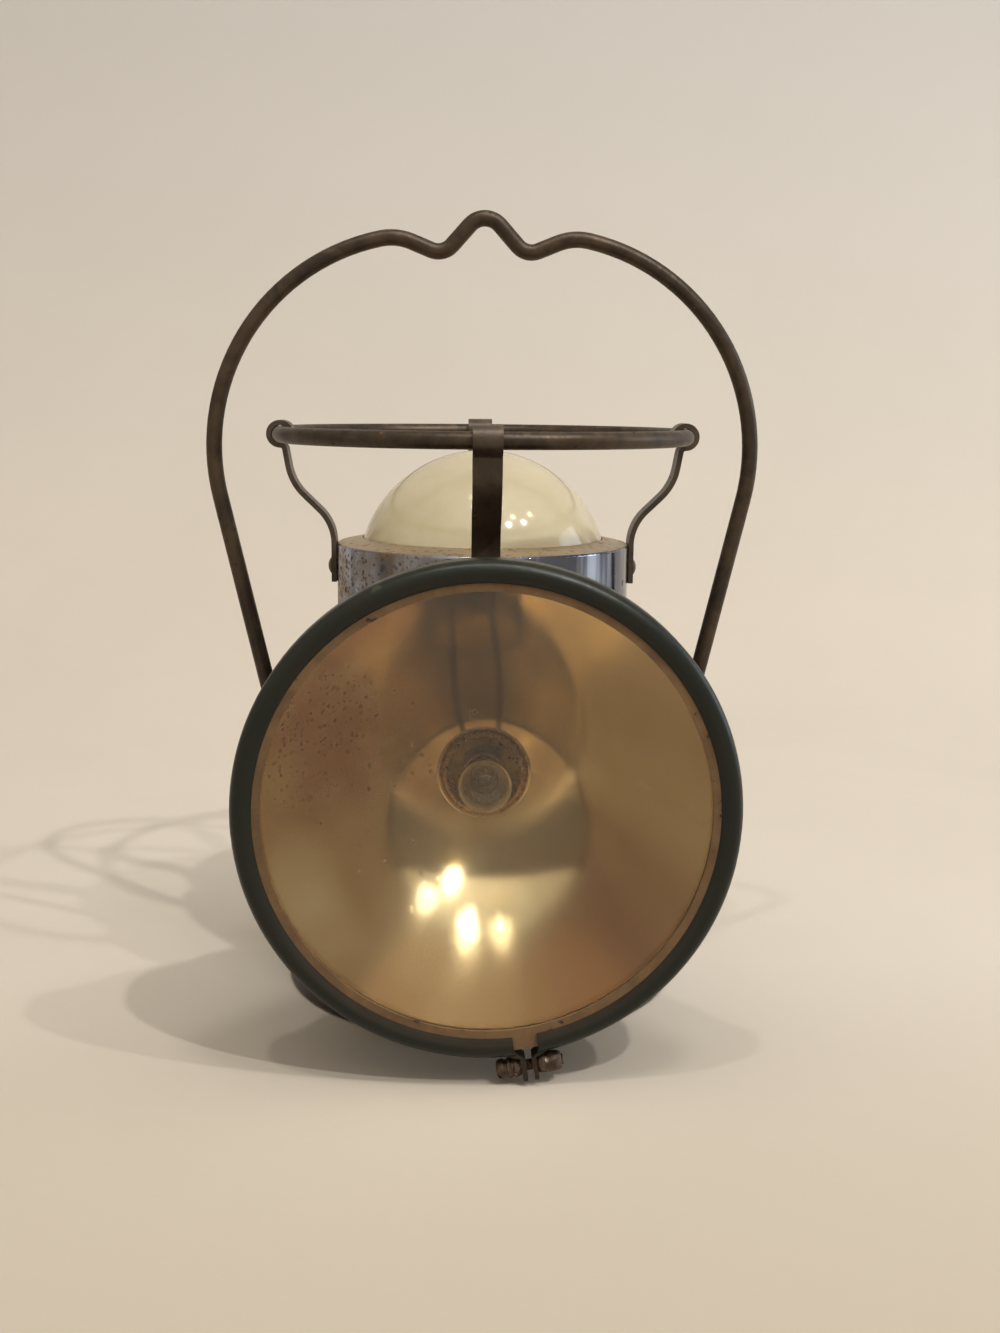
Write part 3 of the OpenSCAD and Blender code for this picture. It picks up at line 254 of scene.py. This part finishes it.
rimPaint = {
    "base": (18, 25, 19), "patch": (25, 28, 21), "patchScale": 38.0, "grainScale": 800.0,
    "roughness": (0.28, 0.38), "metal": 0.0, "bump": 0.12, "gloss": 0.3,
    "specks": [
        # pale dots on the upward faces near the top: wear specks, and also a painted highlight along the top of
        # the rim
        {"scale": 230.0, "dots": (0.4, 0.42), "colour": (96, 96, 80), "faces": ("Z", 0.4, 0.9),
         "roughness": 0.6, "amount": 0.5, "sides": [("Z", 0.06, 0.1)]},
        {"scale": 190.0, "dots": (0.12, 0.3), "colour": (60, 46, 33), "roughness": 0.75, "dent": 0.4},
        {"scale": 50.0, "edge": 0.2, "soft": 0.2, "sides": [("Z", 0.07, 0.03)], "faces": ("Z", 0.0, 0.5),
         "colour": (38, 31, 22), "roughness": 0.85},
        {"scale": 60.0, "edge": 0.3, "soft": 0.2, "detail": 5.0, "sides": [("Z", 0.0092, 0.0075)],
         "colour": (52, 40, 31), "roughness": 0.62, "metal": 0.35},
        {"scale": 420.0, "edge": 0.58, "sides": [("Z", 0.0095, 0.007)], "colour": (90, 66, 48),
         "roughness": 0.8},
    ],
    "dust": (0.1, (120, 116, 98)),
}
casePaint = dict(rimPaint, base=(28, 34, 28), patch=(37, 39, 31), specks=[
    {"scale": 210.0, "dots": (0.1, 0.34), "colour": (80, 60, 42), "roughness": 0.75, "dent": 0.5},
    {"scale": 34.0, "edge": 0.66, "soft": 0.02, "detail": 6.0, "colour": (66, 52, 40), "roughness": 0.7,
     "dent": 0.3},
    {"scale": 90.0, "edge": 0.3, "soft": 0.3, "detail": 5.0, "sides": [("Z", 0.022, 0.012)],
     "colour": (62, 48, 36), "roughness": 0.75, "amount": 0.8},
])
footPaint = dict(casePaint, base=(38, 30, 23), patch=(50, 38, 28), patchScale=90.0,
                 specks=casePaint["specks"][:2])
dress(makeFinish("rimEnamel", rimPaint), "rim_band")
dress(makeFinish("caseEnamel", casePaint), "case_shell", "spotlight_housing")
dress(makeFinish("footEnamel", footPaint), "base_cup")

# bare steel that has darkened: bail, guard, straps and small fasteners

wireSteel = {
    "base": (76, 62, 47), "patch": (52, 42, 33), "patchScale": 90.0, "grainScale": 1200.0, "warp": 1.0,
    "roughness": (0.34, 0.5), "metal": 0.55, "bump": 0.3,
    "specks": [
        # tan on the upward faces: wear, and also a painted highlight along the tops of the bail, guard, ears,
        # straps and rivets
        {"scale": 260.0, "edge": 0.52, "soft": 0.12, "detail": 4.0, "colour": (126, 106, 76),
         "faces": ("Z", 0.35, 0.95), "amount": 0.4, "metal": 0.6},
        {"scale": 420.0, "dots": (0.2, 0.36), "colour": (50, 33, 23), "roughness": 0.8, "metal": 0.1,
         "dent": 0.5},
        {"scale": 300.0, "dots": (0.08, 0.3), "colour": (108, 76, 46), "roughness": 0.8, "metal": 0.1},
    ],
}
strapSteel = dict(wireSteel, base=(86, 73, 60), patch=(64, 54, 44), roughness=(0.34, 0.46), patchScale=70.0,
                  metal=0.4)
rivetSteel = dict(wireSteel, base=(92, 76, 58), patch=(58, 44, 33))
rustySteel = {
    "base": (92, 78, 60), "patch": (58, 45, 35), "patchScale": 420.0, "patchEdge": 0.1, "grainScale": 1500.0,
    "warp": 0.6, "roughness": (0.4, 0.62), "metal": 0.5, "bump": 0.5, "bumpDepth": 0.0003,
    "specks": [
        {"scale": 520.0, "edge": 0.56, "soft": 0.08, "colour": (84, 56, 42), "roughness": 0.85, "metal": 0.05,
         "dent": 0.5},
        {"scale": 700.0, "dots": (0.3, 0.4), "colour": (36, 27, 22), "roughness": 0.9, "metal": 0.05,
         "dent": 0.6},
        {"scale": 600.0, "dots": (0.2, 0.45), "colour": (150, 138, 112), "roughness": 0.4, "metal": 0.8},
    ],
}
dress(makeFinish("wireSteel", wireSteel), "bail_wire", "guard_ring", "bail_ear_left", "bail_ear_right")
dress(makeFinish("strapSteel", strapSteel), "strap_front", "strap_back", "strap_left", "strap_right")
dress(makeFinish("rivetSteel", rivetSteel), "ear_rivets", "strap_rivets")
rustFinish = makeFinish("rustySteel", rustySteel)
dress(rustFinish, "clamp_screw", "clamp_nut")

# plated collar and other bright sheet

collarPlate = {
    # the plating is tinted blue and streaked light and dark up and down: painted reflections of the room
    "base": (172, 184, 206), "patch": (92, 99, 116), "patchScale": 60.0, "patchEdge": 0.05, "warp": 0.3,
    "grainScale": 1500.0, "stretch": (1.0, 1.0, 0.06), "roughness": (0.09, 0.15), "metal": 1.0, "bump": 0.05,
    "specks": [
        {"scale": 70.0, "edge": 0.3, "soft": 0.3, "detail": 5.0, "colour": (124, 108, 90),
         "sides": [("X", 0.01, -0.024)], "roughness": 0.42, "metal": 0.75, "amount": 0.95},
        {"scale": 460.0, "dots": (0.8, 0.55), "soft": 0.16, "colour": (70, 56, 42),
         "sides": [("X", -0.004, -0.034)], "roughness": 0.8, "metal": 0.4, "dent": 0.5, "amount": 0.75},
        {"scale": 900.0, "dots": (0.8, 0.6), "soft": 0.16, "colour": (74, 58, 44),
         "sides": [("X", 0.012, -0.03)], "roughness": 0.8, "metal": 0.4, "dent": 0.4, "amount": 0.8},
        {"scale": 330.0, "dots": (0.16, 0.36), "colour": (84, 64, 46), "roughness": 0.8, "metal": 0.2,
         "dent": 0.5},
        # tan on the upward faces of the top flange: worn plating, and also a painted reflection of the warm
        # room
        {"scale": 60.0, "edge": 0.1, "soft": 0.3, "detail": 5.0, "colour": (178, 158, 128),
         "faces": ("Z", 0.6, 0.9), "roughness": 0.4, "metal": 0.75, "amount": 0.9},
        {"scale": 420.0, "edge": 0.54, "soft": 0.1, "detail": 4.0, "colour": (122, 98, 72),
         "faces": ("Z", 0.6, 0.9), "roughness": 0.7, "metal": 0.3, "amount": 0.75},
    ],
}
zincPlate = dict(collarPlate, base=(150, 150, 146), patch=(130, 128, 122), roughness=(0.35, 0.5), specks=[],
                 stretch=(1.0, 1.0, 1.0))
nickelPlate = dict(zincPlate, base=(186, 180, 168), patch=(150, 142, 128), roughness=(0.22, 0.4))
dress(makeFinish("collarPlate", collarPlate), "collar")
dress(makeFinish("zincPlate", zincPlate), "neck_plate", "board_posts", "dome_retainer")
dress(makeFinish("nickelPlate", nickelPlate), "switch_nut", "switch_spindle")

# reflector, socket ring and brass pieces; the reflector is painted paler in its low middle, a painted highlight

reflectorGold = {
    "base": (222, 197, 154), "patch": (208, 180, 132), "patchScale": 20.0, "patchEdge": 0.2, "warp": 0.8,
    "grainScale": 300.0, "roughness": (0.05, 0.07), "metal": 1.0, "bump": 0.002,
    "coat": 0.3, "coatRoughness": 0.36,
    "specks": [
        # paler and rougher in the low middle: a painted highlight where the lamps shine in the reflector
        {"scale": 22.0, "edge": 0.1, "soft": 0.3, "colour": (246, 234, 200), "roughness": 0.13,
         "sides": [("Z", 0.09, 0.052), ("X", -0.058, -0.03), ("X", 0.075, 0.045)]},
        {"scale": 30.0, "edge": 0.32, "soft": 0.3, "detail": 5.0, "colour": (178, 120, 70),
         "sides": [("X", -0.004, -0.034), ("Z", 0.055, 0.076)], "roughness": 0.12, "amount": 0.92},
        {"scale": 760.0, "dots": (0.7, 0.55), "soft": 0.16, "colour": (104, 52, 26), "roughness": 0.45,
         "metal": 0.8, "around": ((-0.042, -0.075, 0.09), 0.034), "amount": 0.8},
        {"scale": 420.0, "dots": (0.35, 0.42), "soft": 0.14, "colour": (88, 46, 24), "roughness": 0.45,
         "metal": 0.8, "around": ((-0.034, -0.062, 0.08), 0.05), "amount": 0.75},
        {"scale": 90.0, "dots": (0.05, 0.13), "colour": (48, 32, 20), "roughness": 0.5, "metal": 0.9},
        # two pale patches low on the left: painted highlights
        {"scale": 50.0, "edge": 0.0, "soft": 0.9, "detail": 5.0, "colour": (206, 198, 172), "roughness": 0.24,
         "metal": 0.75, "around": ((-0.0492, -0.077, 0.053), 0.017), "amount": 0.7},
        {"scale": 50.0, "edge": 0.0, "soft": 0.9, "detail": 5.0, "colour": (204, 194, 164), "roughness": 0.24,
         "metal": 0.75, "around": ((-0.044, -0.077, 0.041), 0.016), "amount": 0.6},
    ],
}
ringBrass = {
    "base": (184, 148, 98), "patch": (146, 112, 70), "patchScale": 160.0, "grainScale": 900.0,
    "roughness": (0.18, 0.32), "metal": 1.0, "bump": 0.1,
    "specks": [{"scale": 500.0, "edge": 0.62, "colour": (72, 46, 28), "roughness": 0.8, "metal": 0.3}],
}
dullBrass = dict(ringBrass, base=(170, 136, 82), patch=(132, 100, 56), roughness=(0.25, 0.4))
goldFinish = makeFinish("reflectorGold", reflectorGold)
dress(goldFinish, "reflector")
dress(makeFinish("ringBrass", ringBrass), "socket_ring")
dress(makeFinish("dullBrass", dullBrass), "spot_socket", "top_socket", "socket_contacts", "contact_plates",
      "switch_lugs", "board_screws", "spot_bulb_cap", "top_bulb_cap", "knob_screw")

# glass

lensGlass = {
    "tint": (250, 247, 238), "film": (240, 230, 210), "smearScale": 14.0, "roughness": (0.0, 0.02),
    "clear": 1.0, "waveScale": 30.0, "wave": 0.01, "shadow": (246, 242, 232),
}
domeGlass = {
    "tint": (229, 222, 200), "film": (216, 207, 183), "smearScale": 22.0, "roughness": (0.06, 0.16),
    "clear": 0.52, "waveScale": 24.0, "wave": 0.05, "shadow": (240, 232, 206),
}
bulbGlass = dict(lensGlass, tint=(251, 248, 242), film=(196, 176, 148), clear=0.985, smearScale=120.0,
                 roughness=(0.0, 0.02))
dress(makeGlass("lensGlass", lensGlass), "lens_glass")
dress(makeGlass("domeGlass", domeGlass), "dome_glass")
dress(makeGlass("bulbGlass", bulbGlass), "spot_bulb_glass", "top_bulb_glass")

# rubber, fibre, felt and moulded pieces

oldRubber = {
    "base": (114, 88, 58), "patch": (94, 71, 47), "patchScale": 120.0, "grainScale": 1400.0,
    "roughness": (0.6, 0.8), "metal": 0.0, "bump": 0.4,
    "specks": [{"scale": 240.0, "edge": 0.66, "colour": (52, 36, 30), "dent": 0.6}],
}
blackRubber = dict(oldRubber, base=(36, 34, 32), patch=(28, 27, 26))
darkFibre = dict(oldRubber, base=(72, 46, 34), patch=(56, 36, 27), stretch=(1.0, 0.2, 1.0),
                 roughness=(0.45, 0.6))
baseFelt = dict(oldRubber, base=(112, 104, 84), patch=(92, 84, 68), grainScale=2600.0, roughness=(0.9, 1.0),
                sheen=0.3, bump=0.8)
leadCover = dict(oldRubber, base=(40, 37, 34), patch=(58, 52, 45), patchScale=900.0, grainScale=2600.0)
brownResin = dict(oldRubber, base=(34, 26, 22), patch=(46, 33, 26), roughness=(0.22, 0.34), bump=0.08,
                  specks=[])
batteryJacket = dict(oldRubber, base=(116, 34, 30), patch=(96, 28, 26), roughness=(0.3, 0.45), bump=0.1)
batteryTop = dict(oldRubber, base=(44, 44, 44), patch=(58, 56, 52), roughness=(0.35, 0.5), bump=0.1)
whiteEnamel = dict(oldRubber, base=(226, 218, 192), patch=(206, 192, 158), patchScale=50.0,
                   roughness=(0.22, 0.36), bump=0.08,
                   specks=[{"scale": 300.0, "edge": 0.7, "colour": (130, 96, 62), "roughness": 0.7}])
springSteel = dict(oldRubber, base=(158, 154, 140), patch=(132, 126, 112), metal=1.0, roughness=(0.25, 0.4),
                   bump=0.1, specks=[])
filamentWire = dict(springSteel, base=(120, 118, 114), patch=(92, 90, 88), grainScale=4000.0)
dress(makeFinish("oldRubber", oldRubber), "lens_gasket")
dress(makeFinish("blackRubber", blackRubber), "dome_gasket")
dress(makeFinish("darkFibre", darkFibre), "spot_insulator", "top_insulator", "contact_board")
dress(makeFinish("baseFelt", baseFelt), "base_pad")
dress(makeFinish("leadCover", leadCover), "battery_lead", "spot_lead", "top_lead")
dress(makeFinish("brownResin", brownResin), "switch_body", "switch_knob")
dress(makeFinish("batteryJacket", batteryJacket), "battery")
dress(makeFinish("batteryTop", batteryTop), "battery_lid")
dress(makeFinish("whiteEnamel", whiteEnamel), "top_reflector")
dress(makeFinish("springSteel", springSteel), "spring_terminals")
dress(makeFinish("filamentWire", filamentWire), "spot_filament", "top_filament")
print("finishes: %d" % len(bpy.data.materials))

# turned pieces

mergeGap = 0.000002   # points closer than this become one
sharpCorner = 40.0   # degrees


def turned(name, rings, around, capped, place):
    # a shape turned about its own Z: each ring is its height and radius. place sets the finished piece down
    bpy.ops.object.select_all(action="DESELECT")
    height, last = rings[0]
    bpy.ops.mesh.primitive_circle_add(vertices=around, radius=last, location=(0.0, 0.0, height),
                                      fill_type="NGON" if capped else "NOTHING")
    piece = bpy.context.object
    piece.name = name
    bpy.ops.object.transform_apply(location=True, rotation=True, scale=True)
    bpy.ops.object.mode_set(mode="EDIT")
    bpy.ops.mesh.select_all(action="SELECT")
    for nextHeight, radius in rings[1:]:
        step = {"value": (0.0, 0.0, nextHeight - height)}
        if capped:
            bpy.ops.mesh.extrude_region_move(TRANSFORM_OT_translate=step)
        else:
            bpy.ops.mesh.extrude_edges_move(TRANSFORM_OT_translate=step)
        bpy.ops.transform.resize(value=(radius / last, radius / last, 1.0), center_override=(0.0, 0.0, 0.0))
        height, last = nextHeight, radius
    bpy.ops.mesh.select_all(action="SELECT")
    bpy.ops.mesh.remove_doubles(threshold=mergeGap)
    bpy.ops.mesh.normals_make_consistent(inside=False)
    bpy.ops.object.mode_set(mode="OBJECT")
    piece.matrix_world = place
    bpy.ops.object.transform_apply(location=True, rotation=True, scale=True)
    return piece


def finishPiece(piece, material, body, node):
    # smooth but for sharp corners, with its finish, on its body and in its node's place
    bpy.ops.object.shade_smooth_by_angle(angle=math.radians(sharpCorner))
    piece.data.materials.append(material)
    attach(piece, body)
    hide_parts(node)
    print("%s: %d faces" % (piece.name, len(piece.data.polygons)))


# the reflector again as a smooth spun bowl, because the faceted one would show rings in its shine.
# it runs from the radius of its hole to that of its opening, with a small bead near the hole

bowl = {
    "hole": 0.0111, "open": 0.058, "vertex": 0.0389, "focal": 0.018524, "thick": 0.0006,
    "steps": 104, "around": 168, "bead": 0.0127, "beadSize": 0.0004,
}
lowCorner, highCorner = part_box("reflector")
spotHeight = (lowCorner[2] + highCorner[2]) / 2
flangeRadius = (highCorner[0] - lowCorner[0]) / 2
radii = [bowl["hole"] + (bowl["open"] - bowl["hole"]) * i / bowl["steps"] for i in range(bowl["steps"] + 1)]
rings = []
for radius in radii:
    lift = max(bowl["beadSize"] ** 2 - (radius - bowl["bead"]) ** 2, 0.0) ** 0.5
    rings.append((bowl["vertex"] + radius ** 2 / (4 * bowl["focal"]) + lift, radius))
rings.append((rings[-1][0], flangeRadius))
forward = Matrix.Translation((0.0, 0.0, spotHeight)) @ Matrix.Rotation(math.pi / 2, 4, "X")
smoothBowl = turned("reflector_bowl", rings, bowl["around"], False, forward)
if smoothBowl.data.polygons[0].normal.y > 0:   # the shine faces forward
    smoothBowl.data.flip_normals()
wall = smoothBowl.modifiers.new("wall", "SOLIDIFY")
wall.thickness = bowl["thick"]
wall.offset = -1.0
bpy.ops.object.modifier_apply(modifier="wall")
finishPiece(smoothBowl, goldFinish, "case", "reflector")

# clamp screw and its barrel nut at the foot of the rim, worn and grooved. heights run along the screw,
# and a plain ridged shank stands for its thread

clamp = {
    "middle": (0.011634, -0.085375, 0.005287), "along": (0.985703, 0.0, 0.168489), "around": 40,
    "shank": 0.0015, "shankFrom": -0.0021, "ridges": 19, "pitch": 0.0003, "groove": 0.9,
    "slotLength": 0.0063, "slotWidth": 0.0009, "slotDepth": 0.0011, "slotTurn": 0.5,
    "head": [(-0.0088, 0.0014), (-0.0086, 0.0021), (-0.0081, 0.00252), (-0.0074, 0.00268), (-0.0068, 0.00262),
             (-0.0065, 0.00226), (-0.0061, 0.00226), (-0.0058, 0.0026), (-0.0049, 0.0027), (-0.0046, 0.00236),
             (-0.0042, 0.00236), (-0.0039, 0.00266), (-0.003, 0.0026), (-0.0026, 0.0023), (-0.0022, 0.0023)],
    "nut": [(0.00215, 0.00154), (0.00215, 0.0022), (0.0024, 0.00248), (0.0032, 0.00268), (0.0042, 0.00278),
            (0.0045, 0.00258), (0.0048, 0.00258), (0.0051, 0.0028), (0.0062, 0.00278), (0.0072, 0.00262),
            (0.008, 0.00234), (0.0084, 0.002), (0.00852, 0.00176), (0.0084, 0.00154), (0.00215, 0.00154)],
}
shank = []
for i in range(clamp["ridges"]):
    shank.append((clamp["shankFrom"] + 2 * i * clamp["pitch"], clamp["shank"]))
    shank.append((clamp["shankFrom"] + (2 * i + 1) * clamp["pitch"], clamp["shank"] * clamp["groove"]))
screwTurn = Vector(clamp["along"]).to_track_quat("Z", "Y").to_matrix().to_4x4()
alongScrew = Matrix.Translation(clamp["middle"]) @ screwTurn
screwPiece = turned("clamp_screw_worn", clamp["head"] + shank, clamp["around"], True, alongScrew)
bpy.ops.object.select_all(action="DESELECT")
slotMiddle = alongScrew @ Vector((0.0, 0.0, clamp["head"][0][0]))
bpy.ops.mesh.primitive_cube_add(size=1.0)
cutter = bpy.context.object
slotPlace = Matrix.Translation(slotMiddle) @ alongScrew.to_3x3().to_4x4()
slotPlace = slotPlace @ Matrix.Rotation(clamp["slotTurn"], 4, "Z")
slotSize = Matrix.Diagonal((clamp["slotLength"], clamp["slotWidth"], 2 * clamp["slotDepth"], 1.0))
cutter.matrix_world = slotPlace @ slotSize
bpy.context.view_layer.update()
cut = screwPiece.modifiers.new("slot", "BOOLEAN")
cut.object = cutter
cut.solver = "EXACT"
bpy.ops.object.select_all(action="DESELECT")
bpy.context.view_layer.objects.active = screwPiece
screwPiece.select_set(True)
bpy.ops.object.modifier_apply(modifier="slot")
bpy.data.objects.remove(cutter)
finishPiece(screwPiece, rustFinish, "clamp", "clamp_screw")
nutPiece = turned("clamp_nut_barrel", clamp["nut"], clamp["around"], False, alongScrew)
finishPiece(nutPiece, rustFinish, "case", "clamp_nut")

# floor and backdrop: one sheet of paper that curves up behind the lantern

paper = {
    "width": 14.0, "front": -3.5, "back": 0.75, "height": 4.5, "bend": 0.5, "bendSteps": 16,
    "backEdge": 0.01, "floorEdge": 0.001,   # how near a point is to count as at the back or on the floor
    "base": (211, 202, 189), "patch": (206, 197, 184), "patchScale": 3.0, "grainScale": 240.0,
    "roughness": (0.75, 0.9), "metal": 0.0, "bump": 0.05,
    "specks": [
        # the floor darker in front of the lantern, fading out further forward: painted shade
        {"scale": 1.0, "edge": -1.0, "colour": (190, 178, 161),
         "sides": [("Y", 0.0, -0.22), ("Y", -1.0, -0.5)]},
        {"scale": 1.0, "edge": -1.0, "colour": (206, 203, 200), "sides": [("Z", 0.05, 0.5)]},
    ],
}
bpy.ops.object.select_all(action="DESELECT")
bpy.ops.mesh.primitive_plane_add(size=1.0, location=(0.0, 0.0, 0.0))
sheet = bpy.context.object
sheet.name = "paperSweep"
sheet.scale = (paper["width"], paper["back"] - paper["front"], 1.0)
sheet.location = (0.0, (paper["back"] + paper["front"]) / 2, 0.0)
bpy.ops.object.transform_apply(location=True, rotation=True, scale=True)
bpy.ops.object.mode_set(mode="EDIT")
bpy.ops.mesh.select_all(action="DESELECT")
bpy.ops.object.mode_set(mode="OBJECT")
for edge in sheet.data.edges:
    ends = [sheet.data.vertices[v].co.y for v in edge.vertices]
    edge.select = min(ends) > paper["back"] - paper["backEdge"]
for vertex in sheet.data.vertices:
    vertex.select = vertex.co.y > paper["back"] - paper["backEdge"]
bpy.ops.object.mode_set(mode="EDIT")
bpy.ops.mesh.extrude_region_move(TRANSFORM_OT_translate={"value": (0.0, 0.0, paper["height"])})
bpy.ops.mesh.select_all(action="DESELECT")
bpy.ops.object.mode_set(mode="OBJECT")
for edge in sheet.data.edges:
    ends = [sheet.data.vertices[v].co for v in edge.vertices]
    atBack = all(end.y > paper["back"] - paper["backEdge"] for end in ends)
    edge.select = atBack and all(abs(end.z) < paper["floorEdge"] for end in ends)
bpy.ops.object.mode_set(mode="EDIT")
bpy.ops.mesh.bevel(offset=paper["bend"], segments=paper["bendSteps"], affect="EDGES")
bpy.ops.object.mode_set(mode="OBJECT")
bpy.ops.object.shade_smooth()
sheet.data.materials.append(makeFinish("paper", paper))

# stage cards that give the reflector a room to mirror: a wall, a floor past the table's edge, a low dark card
# and a lit edge. only light that has passed through glass and bounced five times or more meets them.
# flare widens the end away from the lantern

cards = {
    "roomWall": {"width": 6.0, "front": -1.2, "back": -1.199, "low": 0.0, "high": 1.8, "shine": 0.28,
                 "flare": 1.0},
    "roomFloor": {"width": 6.0, "front": -1.2, "back": -0.2065, "low": 0.0006, "high": 0.0006, "shine": 0.5,
                  "flare": 1.0},
    "darkCard": {"width": 0.086, "front": -0.3, "back": -0.2065, "low": 0.001, "high": 0.014, "shine": 0.15,
                 "flare": 1.3},
    "tableEdge": {"width": 1.1, "front": -0.2065, "back": -0.198, "low": 0.001, "high": 0.001, "shine": 1.1,
                  "flare": 1.0},
}
cardGlow = {"tone": (1.0, 0.84, 0.66), "fromBounce": 4.5, "low": 5.0, "full": 6.0, "lowShare": 0.35}
for name, card in cards.items():
    long = card["back"] - card["front"]
    rise = card["high"] - card["low"]
    middle = (0.0, (card["front"] + card["back"]) / 2, (card["low"] + card["high"]) / 2)
    bpy.ops.object.select_all(action="DESELECT")
    bpy.ops.mesh.primitive_plane_add(size=1.0, location=middle, rotation=(-math.atan2(rise, long), 0.0, 0.0))
    board = bpy.context.object
    board.name = name
    board.scale = (card["width"], math.hypot(long, rise), 1.0)
    bpy.ops.object.transform_apply(location=True, rotation=True, scale=True)
    bpy.ops.object.mode_set(mode="EDIT")
    bpy.ops.mesh.select_all(action="DESELECT")
    bpy.ops.object.mode_set(mode="OBJECT")
    for vertex in board.data.vertices:
        vertex.select = vertex.co.y < middle[1]
    bpy.ops.object.mode_set(mode="EDIT")
    bpy.ops.transform.resize(value=(card["flare"], 1.0, 1.0),
                             center_override=(0.0, card["front"], card["low"]))
    bpy.ops.object.mode_set(mode="OBJECT")
    material = bpy.data.materials.new(name)
    material.use_nodes = True
    tree = material.node_tree
    tree.nodes.remove(tree.nodes["Principled BSDF"])
    bounces = addNode(tree, "ShaderNodeLightPath").outputs["Ray Depth"]
    shines = (cardGlow["lowShare"] * card["shine"], card["shine"])   # dimmer at the fifth bounce
    shine = between(tree, bounces, cardGlow["low"], cardGlow["full"], shines)
    glow = addNode(tree, "ShaderNodeEmission", {"Color": (*cardGlow["tone"], 1.0), "Strength": shine})
    bowlRay = calc(tree, "GREATER_THAN", bounces, cardGlow["fromBounce"])   # lens, bowl and lens again
    clear = addNode(tree, "ShaderNodeBsdfTransparent")
    both = addNode(tree, "ShaderNodeMixShader", {0: bowlRay, 1: clear.outputs[0], 2: glow.outputs[0]})
    tree.links.new(both.outputs[0], tree.nodes["Material Output"].inputs["Surface"])
    board.data.materials.append(material)
    board.visible_camera = False
    board.visible_diffuse = False
    board.visible_glossy = False
    board.visible_shadow = False
print("floor, backdrop and cards")

# small lamps under a ceiling, and a pale window to the right. each stands off in its own direction

lamps = {
    "mainLamp": {"towards": (0.33, -0.51, 0.79), "away": 2.2, "size": 0.05, "power": 12.0,
                 "tone": (1.0, 0.98, 0.94)},
    "sideLamp": {"towards": (0.506, -0.376, 0.776), "away": 2.2, "size": 0.05, "power": 7.5,
                 "tone": (1.0, 0.98, 0.94)},
    "highLamp": {"towards": (-0.11, -0.32, 0.94), "away": 2.0, "size": 0.07, "power": 4.0,
                 "tone": (1.0, 0.98, 0.94)},
    "nearLamp": {"towards": (0.155, -0.305, 0.94), "away": 2.0, "size": 0.26, "power": 5.0,
                 "tone": (1.0, 0.98, 0.94)},
    "window": {"towards": (1.0, 0.12, 0.34), "away": 1.5, "size": 0.7, "power": 4.5,
               "tone": (0.72, 0.85, 1.0)},
}
for name, lamp in lamps.items():
    data = bpy.data.lights.new(name, "AREA")
    data.shape = "SQUARE"
    data.size = lamp["size"]
    data.energy = lamp["power"]
    data.color = lamp["tone"]
    holder = bpy.data.objects.new(name, data)
    bpy.context.scene.collection.objects.link(holder)
    towards = Vector(lamp["towards"]).normalized()
    holder.location = lamp["away"] * towards
    holder.rotation_euler = towards.to_track_quat("Z", "Y").to_euler()
    holder.visible_camera = False

room = {"ceiling": (226, 221, 211), "walls": (138, 122, 102), "seenWalls": (216, 207, 195), "wallTop": 0.42,
        "ceilingFrom": 0.86, "glowTowards": (0.1, -0.36, 0.925), "glow": 0.6, "glowEdge": 0.82,
        "glowMiddle": 0.985}
world = bpy.data.worlds.new("room")
bpy.context.scene.world = world
world.use_nodes = True
tree = world.node_tree
where = addNode(tree, "ShaderNodeTexCoord").outputs["Generated"]
height = between(tree, position(tree, where, "Z"), room["wallTop"], room["ceilingFrom"])
near = addNode(tree, "ShaderNodeVectorMath", {0: where, 1: room["glowTowards"]},
               operation="DOT_PRODUCT").outputs["Value"]
near = between(tree, near, room["glowEdge"], room["glowMiddle"], (1.0, 1.0 + room["glow"]))
# the walls look pale to the eye, in metal and through glass
rays = addNode(tree, "ShaderNodeLightPath").outputs
seen = calc(tree, "MAXIMUM", calc(tree, "MAXIMUM", rays["Is Camera Ray"], rays["Is Glossy Ray"]),
            rays["Is Transmission Ray"])
walls = blendColour(tree, seen, colour(room["walls"]), colour(room["seenWalls"]))
background = tree.nodes["Background"]
plug(tree, blendColour(tree, height, walls, colour(room["ceiling"])), background.inputs["Color"])
plug(tree, near, background.inputs["Strength"])
bpy.context.scene.view_settings.view_transform = "Standard"
print("lamps and room")

# camera: its place and turns were fitted to the photograph

camera = {"place": (-0.0088, -0.4557, 0.1776), "turnZ": -1.81, "tilt": 79.91, "roll": 0.54, "focal": 1500.0,
          "longSide": 1333.0, "sensor": 36.0, "nearest": 0.01}
data = bpy.data.cameras.new("camera")
data.sensor_width = camera["sensor"]
data.lens = camera["sensor"] * camera["focal"] / camera["longSide"]
data.clip_start = camera["nearest"]
holder = bpy.data.objects.new("camera", data)
bpy.context.scene.collection.objects.link(holder)
turn = Matrix.Rotation(math.radians(camera["turnZ"]), 4, "Z")
turn = turn @ Matrix.Rotation(math.radians(camera["tilt"]), 4, "X")
turn = turn @ Matrix.Rotation(math.radians(camera["roll"]), 4, "Z")
holder.matrix_world = Matrix.Translation(camera["place"]) @ turn
bpy.context.scene.camera = holder
print("camera")
